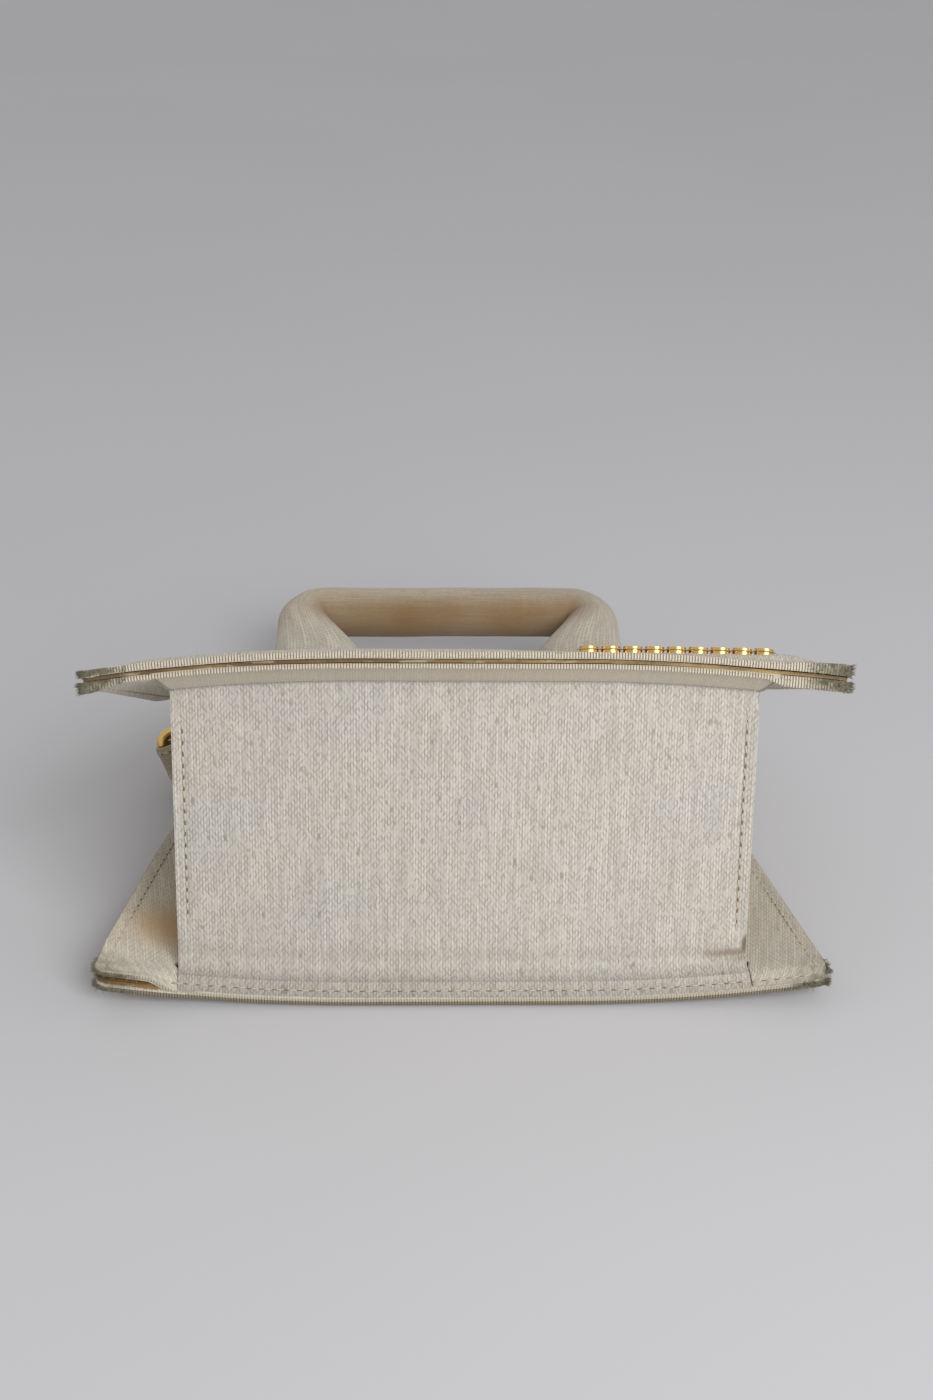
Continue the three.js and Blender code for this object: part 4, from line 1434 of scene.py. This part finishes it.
def tabPiece(side, word):
    widths = steps(-ring["width"] / 2, ring["width"] / 2, ring["acrossSteps"])
    lines = [tabAcross(across, ring["pathSteps"]) for across in widths]

    def at(column, row):
        across = widths[column]
        middle, normal = lines[column][row]
        dip = pulled(ring["width"] / 2 - abs(across) - ring["seamIn"], 0.15 * mm, 0.7 * mm)
        centre = middle + normal * (ring["thickness"] / 2 - dip)
        return offGusset(side, centre.x, centre.y, across), (across, row * 0.75 * mm)

    piece = sheet(f"side_tab_{word}_canvas", ring["acrossSteps"], ring["pathSteps"], at, (side, 0, 0))
    thicken(piece, ring["thickness"], 0.3 * mm)
    dress(piece, tabCanvas, "canvas", "bag_body", f"side_tab_{word}")


# A D of round rod, drawn in its own plane: x away from the bar, y along it
def ringPiece(side, word):
    half, corner, reach = ring["half"], ring["corner"], ring["reach"]
    bend = [(corner * (1 - math.cos(turn)), half - corner + corner * math.sin(turn)) for turn in quarter(8)]
    outline = [(0, corner - half)] + bend
    for turn in steps(math.pi / 2, -math.pi / 2, 36)[1:]:
        outline.append((corner + (reach - corner) * math.cos(turn), half * math.sin(turn)))
    outline += [(x, -y) for x, y in reversed(bend[1:-1])] + outline[:1]
    rows = ring["rows"]
    path = evenly([Vector((x, y, 0)) for x, y in outline], rows)
    crossing = corner + (reach - corner) * math.sqrt(1 - (ring["width"] / 2 / half) ** 2) - ring["rod"]
    rest = math.asin((ring["plyRise"] + ring["pin"]) / crossing)

    def at(column, row):
        along = (path[(row + 1) % rows] - path[(row - 1) % rows]).normalized()
        outward = Vector((along.y, -along.x, 0))
        turn = 2 * math.pi * column / ring["around"]
        spot = path[row % rows] + outward * ring["rod"] * math.cos(turn)
        lift = ring["rod"] * math.sin(turn)
        out = ring["barOut"] - spot.x * math.cos(rest) - lift * math.sin(rest)
        below = -spot.x * math.sin(rest) + lift * math.cos(rest)
        return offGusset(side, out, below, spot.y), (column / ring["around"], row / rows)

    piece = sheet(f"side_ring_{word}_rod", ring["around"], rows, at)
    sewTube(piece, closeEnds=False)
    dress(piece, gold, "gold_metal", f"ring_{word}", f"side_ring_{word}")


for side, word in hands:
    tabPiece(side, word)
    ringPiece(side, word)
print("tabs and rings made")


# Round gold studs, low on the front at the right
studs = {
    "radius": 2.35 * mm,
    "height": 1.9 * mm,
    "edge": 0.4 * mm,
    "crown": 0.25 * mm,
    "sunk": 0.35 * mm,
    "up": 18 * mm,
}


def stud(number):
    drum = {"vertices": 40, "radius": studs["radius"], "depth": studs["height"]}
    piece = fresh(bpy.ops.mesh.primitive_cylinder_add, f"front_stud_{number}_head", **drum)
    bpy.ops.object.mode_set(mode="EDIT")
    bpy.ops.mesh.select_all(action="DESELECT")
    bpy.ops.object.mode_set(mode="OBJECT")
    for face in piece.data.polygons:
        face.select = face.normal.z > 0.9
    bpy.context.tool_settings.mesh_select_mode = (False, False, True)
    bpy.ops.object.mode_set(mode="EDIT")
    bpy.ops.mesh.bevel(offset=studs["edge"], segments=4, affect="EDGES")
    bpy.ops.mesh.inset(thickness=studs["radius"] * 0.45, depth=studs["crown"] * 0.6)
    bpy.ops.mesh.inset(thickness=studs["radius"] * 0.25, depth=studs["crown"] * 0.4)
    bpy.ops.object.mode_set(mode="OBJECT")
    low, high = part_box(f"front_stud_{number}")
    centre = (low + high) / 2
    x, z = centre.x, studs["up"]
    slope = (frontFace(x + mm, z) - frontFace(x, z)) / mm
    outward = Vector((slope, -1, math.tan(bag["frontTilt"]))).normalized()
    centre += layTurn @ outward * (frontSwell(x, z, 0) - studs["sunk"])
    piece.data.transform(Matrix.Translation(centre) @ upTo(outward))
    shadeSmooth(piece, 30)
    dress(piece, gold, "gold_metal", "bag_body", f"front_stud_{number}")


for number in range(1, 10):
    stud(number)
print("studs made")


# Stitches: short pale threads in a shallow channel, with dark beads between them as the painted shadow in the
# needle's holes
stitch = {
    "pitch": 3.1 * mm,
    "thread": (2.0 * mm, 0.55 * mm, 0.4 * mm),
    "hole": (1.15 * mm, 0.5 * mm, 0.12 * mm),
    "slant": math.radians(7),
    "threadLift": 0.06 * mm,
    "holeLift": -0.02 * mm,
    "dip": 0.2 * mm,
}


# A small rounded bead, whose poles become its two ends
def bead(name, length, width, height):
    piece = fresh(bpy.ops.mesh.primitive_uv_sphere_add, name, segments=8, ring_count=5, radius=0.5)
    for vertex in piece.data.vertices:
        x, y, z = vertex.co
        full = max(1 - 0.55 * (abs(z) * 2) ** 3, 0.6)
        vertex.co = (z * length, x * width / full, y * height / full)
    activate(piece)
    bpy.ops.object.shade_smooth()
    return piece


threadBead = bead("thread_bead", *stitch["thread"])
holeBead = bead("needle_hole_bead", *stitch["hole"])


# A line of stitches through points of the standing bag. out(place) gives the way out of the cloth there
def stitchRow(name, points, out, body="bag_body", pitch=stitch["pitch"]):
    dice = random.Random(name)
    line = [Vector(p) for p in points]
    count = max(round(arcs(line)[-1] / pitch), 2)
    places = evenly(line, count * 2)
    threads, needles = [], []
    for k in range(1, count * 2):
        along = (places[k + 1] - places[k - 1]).normalized()
        normal = Vector(out(places[k])).normalized()
        side = normal.cross(along).normalized()
        normal = along.cross(side)
        if k % 2:
            turn = Matrix.Rotation(stitch["slant"] + dice.uniform(-0.05, 0.05), 3, normal)
            along, side = turn @ along, turn @ side
        place = places[k] + normal * stitch["threadLift" if k % 2 else "holeLift"]
        axes = [layTurn @ v for v in (along * dice.uniform(0.92, 1.05), side, normal)]
        (threads if k % 2 else needles).append(placed(*axes, lay(*place)))
    dress(copiesOf(threadBead, f"{name}_thread", threads), thread, "canvas", body)
    dress(copiesOf(holeBead, f"{name}_holes", needles), holes, "canvas", body)


def outOf(face, toward):
    def out(place):
        return backward(face, place.x, place.z, 1 * mm) * toward
    return out


# How far from the edges that they follow the seams start and end, and the pitches of the finer ones
seamDip = stitch["dip"]
sewn = {
    "low": 3.5 * mm,
    "high": 127 * mm,
    "ends": 4 * mm,
    "baseFront": 1.6 * mm,
    "baseBack": 4 * mm,
    "basePitch": 2.9 * mm,
    "stripEnds": 3 * mm,
    "tabPitch": 2.6 * mm,
    "lining": 2.5 * mm,
    "open": 2 * mm,
}
for word, face, toward in (("front", frontFace, -1), ("back", backFace, 1)):
    for layer, depth, way in (("outer", seamDip, toward), ("inner", bag["flangeInner"] - seamDip, -toward)):
        for side, hand in hands:
            rim = [(side * (halfWidth(z) - panel["seamIn"]), z) for z in steps(sewn["low"], sewn["high"], 60)]
            seam = [(x, face(x, z, depth), z) for x, z in rim]
            stitchRow(f"{word}_{hand}_{layer}_seam", seam, outOf(face, way))
        if word == "back":
            # The base's flange leaves the panel a little toward its fold
            reach, z, seam = bag["bottomWidth"] / 2 - sewn["ends"], panel["lowSeam"], []
            for x in steps(-reach, reach, 90):
                leaves = bag["foldBack"] * smooth(z / bag["baseHeight"]) if abs(x) < baseEnd else 0
                more = leaves - pressedDown(x, z) if layer == "inner" else 0
                seam.append((x, face(x, z, depth + more), z))
            stitchRow(f"{word}_bottom_{layer}_seam", seam, outOf(face, way))

for side, hand in hands:
    x, z = side * (baseEnd - base["sideSeam"]), bag["baseHeight"]
    first = frontFace(x, z, bag["flangeInner"] + bag["foldFront"]) + sewn["baseFront"]
    last = backFace(x, z, bag["flangeInner"] + bag["foldBack"]) - sewn["baseBack"]
    seam = [(x, y, z + seamDip) for y in steps(first, last, 30)]
    stitchRow(f"base_{hand}_seam", seam, lambda place: (0, 0, -1), pitch=sewn["basePitch"])
print("panel and base seams sewn")


# The line a distance inside the flap's outline, from one top corner round to the other
def flapLine(inside):
    half, corner, bottom = flap["width"] / 2, flap["corner"], flap["bottom"]
    reach = corner - inside
    points = [(-half + inside, z) for z in steps(bag["stripTop"] - sewn["open"], bottom + corner, 20)]
    for turn in quarter(12)[1:]:
        points.append((-half + corner - reach * math.cos(turn), bottom + corner - reach * math.sin(turn)))
    points += [(x, bottom + inside) for x in steps(-half + corner, 0, 16)[1:]]
    return points + [(-x, z) for x, z in reversed(points[:-1])]


seam = [(x, frontFace(x, z, seamDip - flap["canvasOut"]), z) for x, z in flapLine(flap["seamIn"])]
stitchRow("flap_seam", seam, outOf(frontFace, -1), "flap")

top, reach = bag["stripTop"] - seamDip, bag["topWidth"] / 2 - sewn["stripEnds"]
seam = [(x, backFace(x, top) - strip["seamIn"], top) for x in steps(-reach, reach, 60)]
stitchRow("strip_back_seam", seam, lambda place: (0, 0, 1))

for side, word in hands:
    for row, up in (("back", 1), ("front", -1)):
        edge = up * (ring["width"] / 2 - ring["seamIn"])
        points, outs = [], []
        for middle, normal in tabAcross(edge, ring["pathSteps"])[2:-2]:
            spot = middle + normal * (ring["thickness"] / 2 - 0.1 * mm)
            points.append(offGusset(side, spot.x, spot.y, edge))
            outs.append(offGusset(side, spot.x + normal.x, spot.y + normal.y, edge) - points[-1])

        def outOfTab(place, points=points, outs=outs):
            nearest = min(range(len(points)), key=lambda k: (points[k] - place).length_squared)
            return outs[nearest]

        stitchRow(f"side_tab_{word}_{row}_seam", points, outOfTab, pitch=sewn["tabPitch"])

reach = slip["width"] / 2 - sewn["lining"]
low, high = slip["bottom"] + sewn["lining"], slip["top"] - sewn["open"]
rim = [(-reach, z) for z in steps(high, low, 16)] + [(x, low) for x in steps(-reach, reach, 24)[1:]]
rim += [(reach, z) for z in steps(low, high, 16)[1:]]
stitchRow("pocket_seam", [(x, backFace(x, z, slip["inset"]), z) for x, z in rim], outOf(backFace, -1))
discard(threadBead)
discard(holeBead)
print("flap, strip, tabs and pocket sewn")


# The CAD pieces that keep their own shape
carried = {
    glued: ("base_board", "top_board", "flap_board"),
    wadding: ("handle_core",),
    steel: ("front_magnet", "flap_magnet", "handle_washer_left", "handle_washer_right",
            "handle_screw_left", "handle_screw_right"),
}
for material, names in carried.items():
    for name in names:
        nodes[name].data.materials.clear()
        nodes[name].data.materials.append(material)


# Floor, light and camera
stage = {
    "size": 40.0,
    "lamp": 0.8,
    "lampPower": 9.8,
    "lampAt": (0.45, -0.92, 0.6),
    "lampToward": Vector((0, 0, 0.04)),
    "fill": 0.58,
}
floor = fresh(bpy.ops.mesh.primitive_plane_add, "pale_floor", size=stage["size"], location=(0, 0, 0))
floor.data.materials.append(paintedBoard)

lamp = fresh(bpy.ops.object.light_add, "lamp", type="AREA", location=stage["lampAt"])
lamp.data.shape = "DISK"
lamp.data.size = stage["lamp"]
lamp.data.energy = stage["lampPower"]
lamp.rotation_euler = (stage["lampToward"] - lamp.location).to_track_quat("-Z", "Y").to_euler()

world = bpy.data.worlds.new("studio")
bpy.context.scene.world = world
world.use_nodes = True
building["tree"] = world.node_tree
fillLight = addNode("Background", {}, {"Color": toLinear("f6f4f2"), "Strength": stage["fill"]})
pale = addNode("Background", {}, {"Color": toLinear("d3d4d8"), "Strength": 1.0})
ways = addNode("LightPath")
seen = maths("MAXIMUM", ways.outputs["Is Camera Ray"], ways.outputs["Is Glossy Ray"])
seen = maths("MAXIMUM", seen, ways.outputs["Is Transmission Ray"])
both = addNode("MixShader", {}, {0: seen, 1: fillLight.outputs[0], 2: pale.outputs[0]})
link(both.outputs[0], world.node_tree.nodes["World Output"], "Surface")
bpy.context.scene.view_settings.view_transform = "Standard"

view = {
    "distance": 471.1 * mm,
    "rise": math.radians(20.1),
    "yaw": math.radians(2.07),
    "roll": math.radians(-0.70),
    "offX": -1.6,
    "offY": 125.2,
    "focal": 1944,
    "tall": 1400,
    "sensor": 36,
}


# Two ways that are square to each other, both turned in their own plane, the first toward the second
def turned(a, b, angle):
    return a * math.cos(angle) + b * math.sin(angle), b * math.cos(angle) - a * math.sin(angle)


aside, facing = turned(Vector((1, 0, 0)), layTurn @ Vector((0, 0, -1)), view["yaw"])
toward, above = turned(facing, layTurn @ Vector((0, -1, 0)), view["rise"])
aside, above = turned(aside, above, -view["roll"])
above, away = turned(above, -toward, -math.atan2(view["offY"], view["focal"]))
aside, away = turned(aside, away, math.atan2(view["offX"], view["focal"]))
camera = fresh(bpy.ops.object.camera_add, "camera")
camera.matrix_world = placed(aside, above, -away, lay(0, 0, bag["baseHeight"]) + toward * view["distance"])
camera.data.sensor_width = view["sensor"]
camera.data.lens = view["sensor"] * view["focal"] / view["tall"]
bpy.context.scene.camera = camera
print("floor, light and camera set")
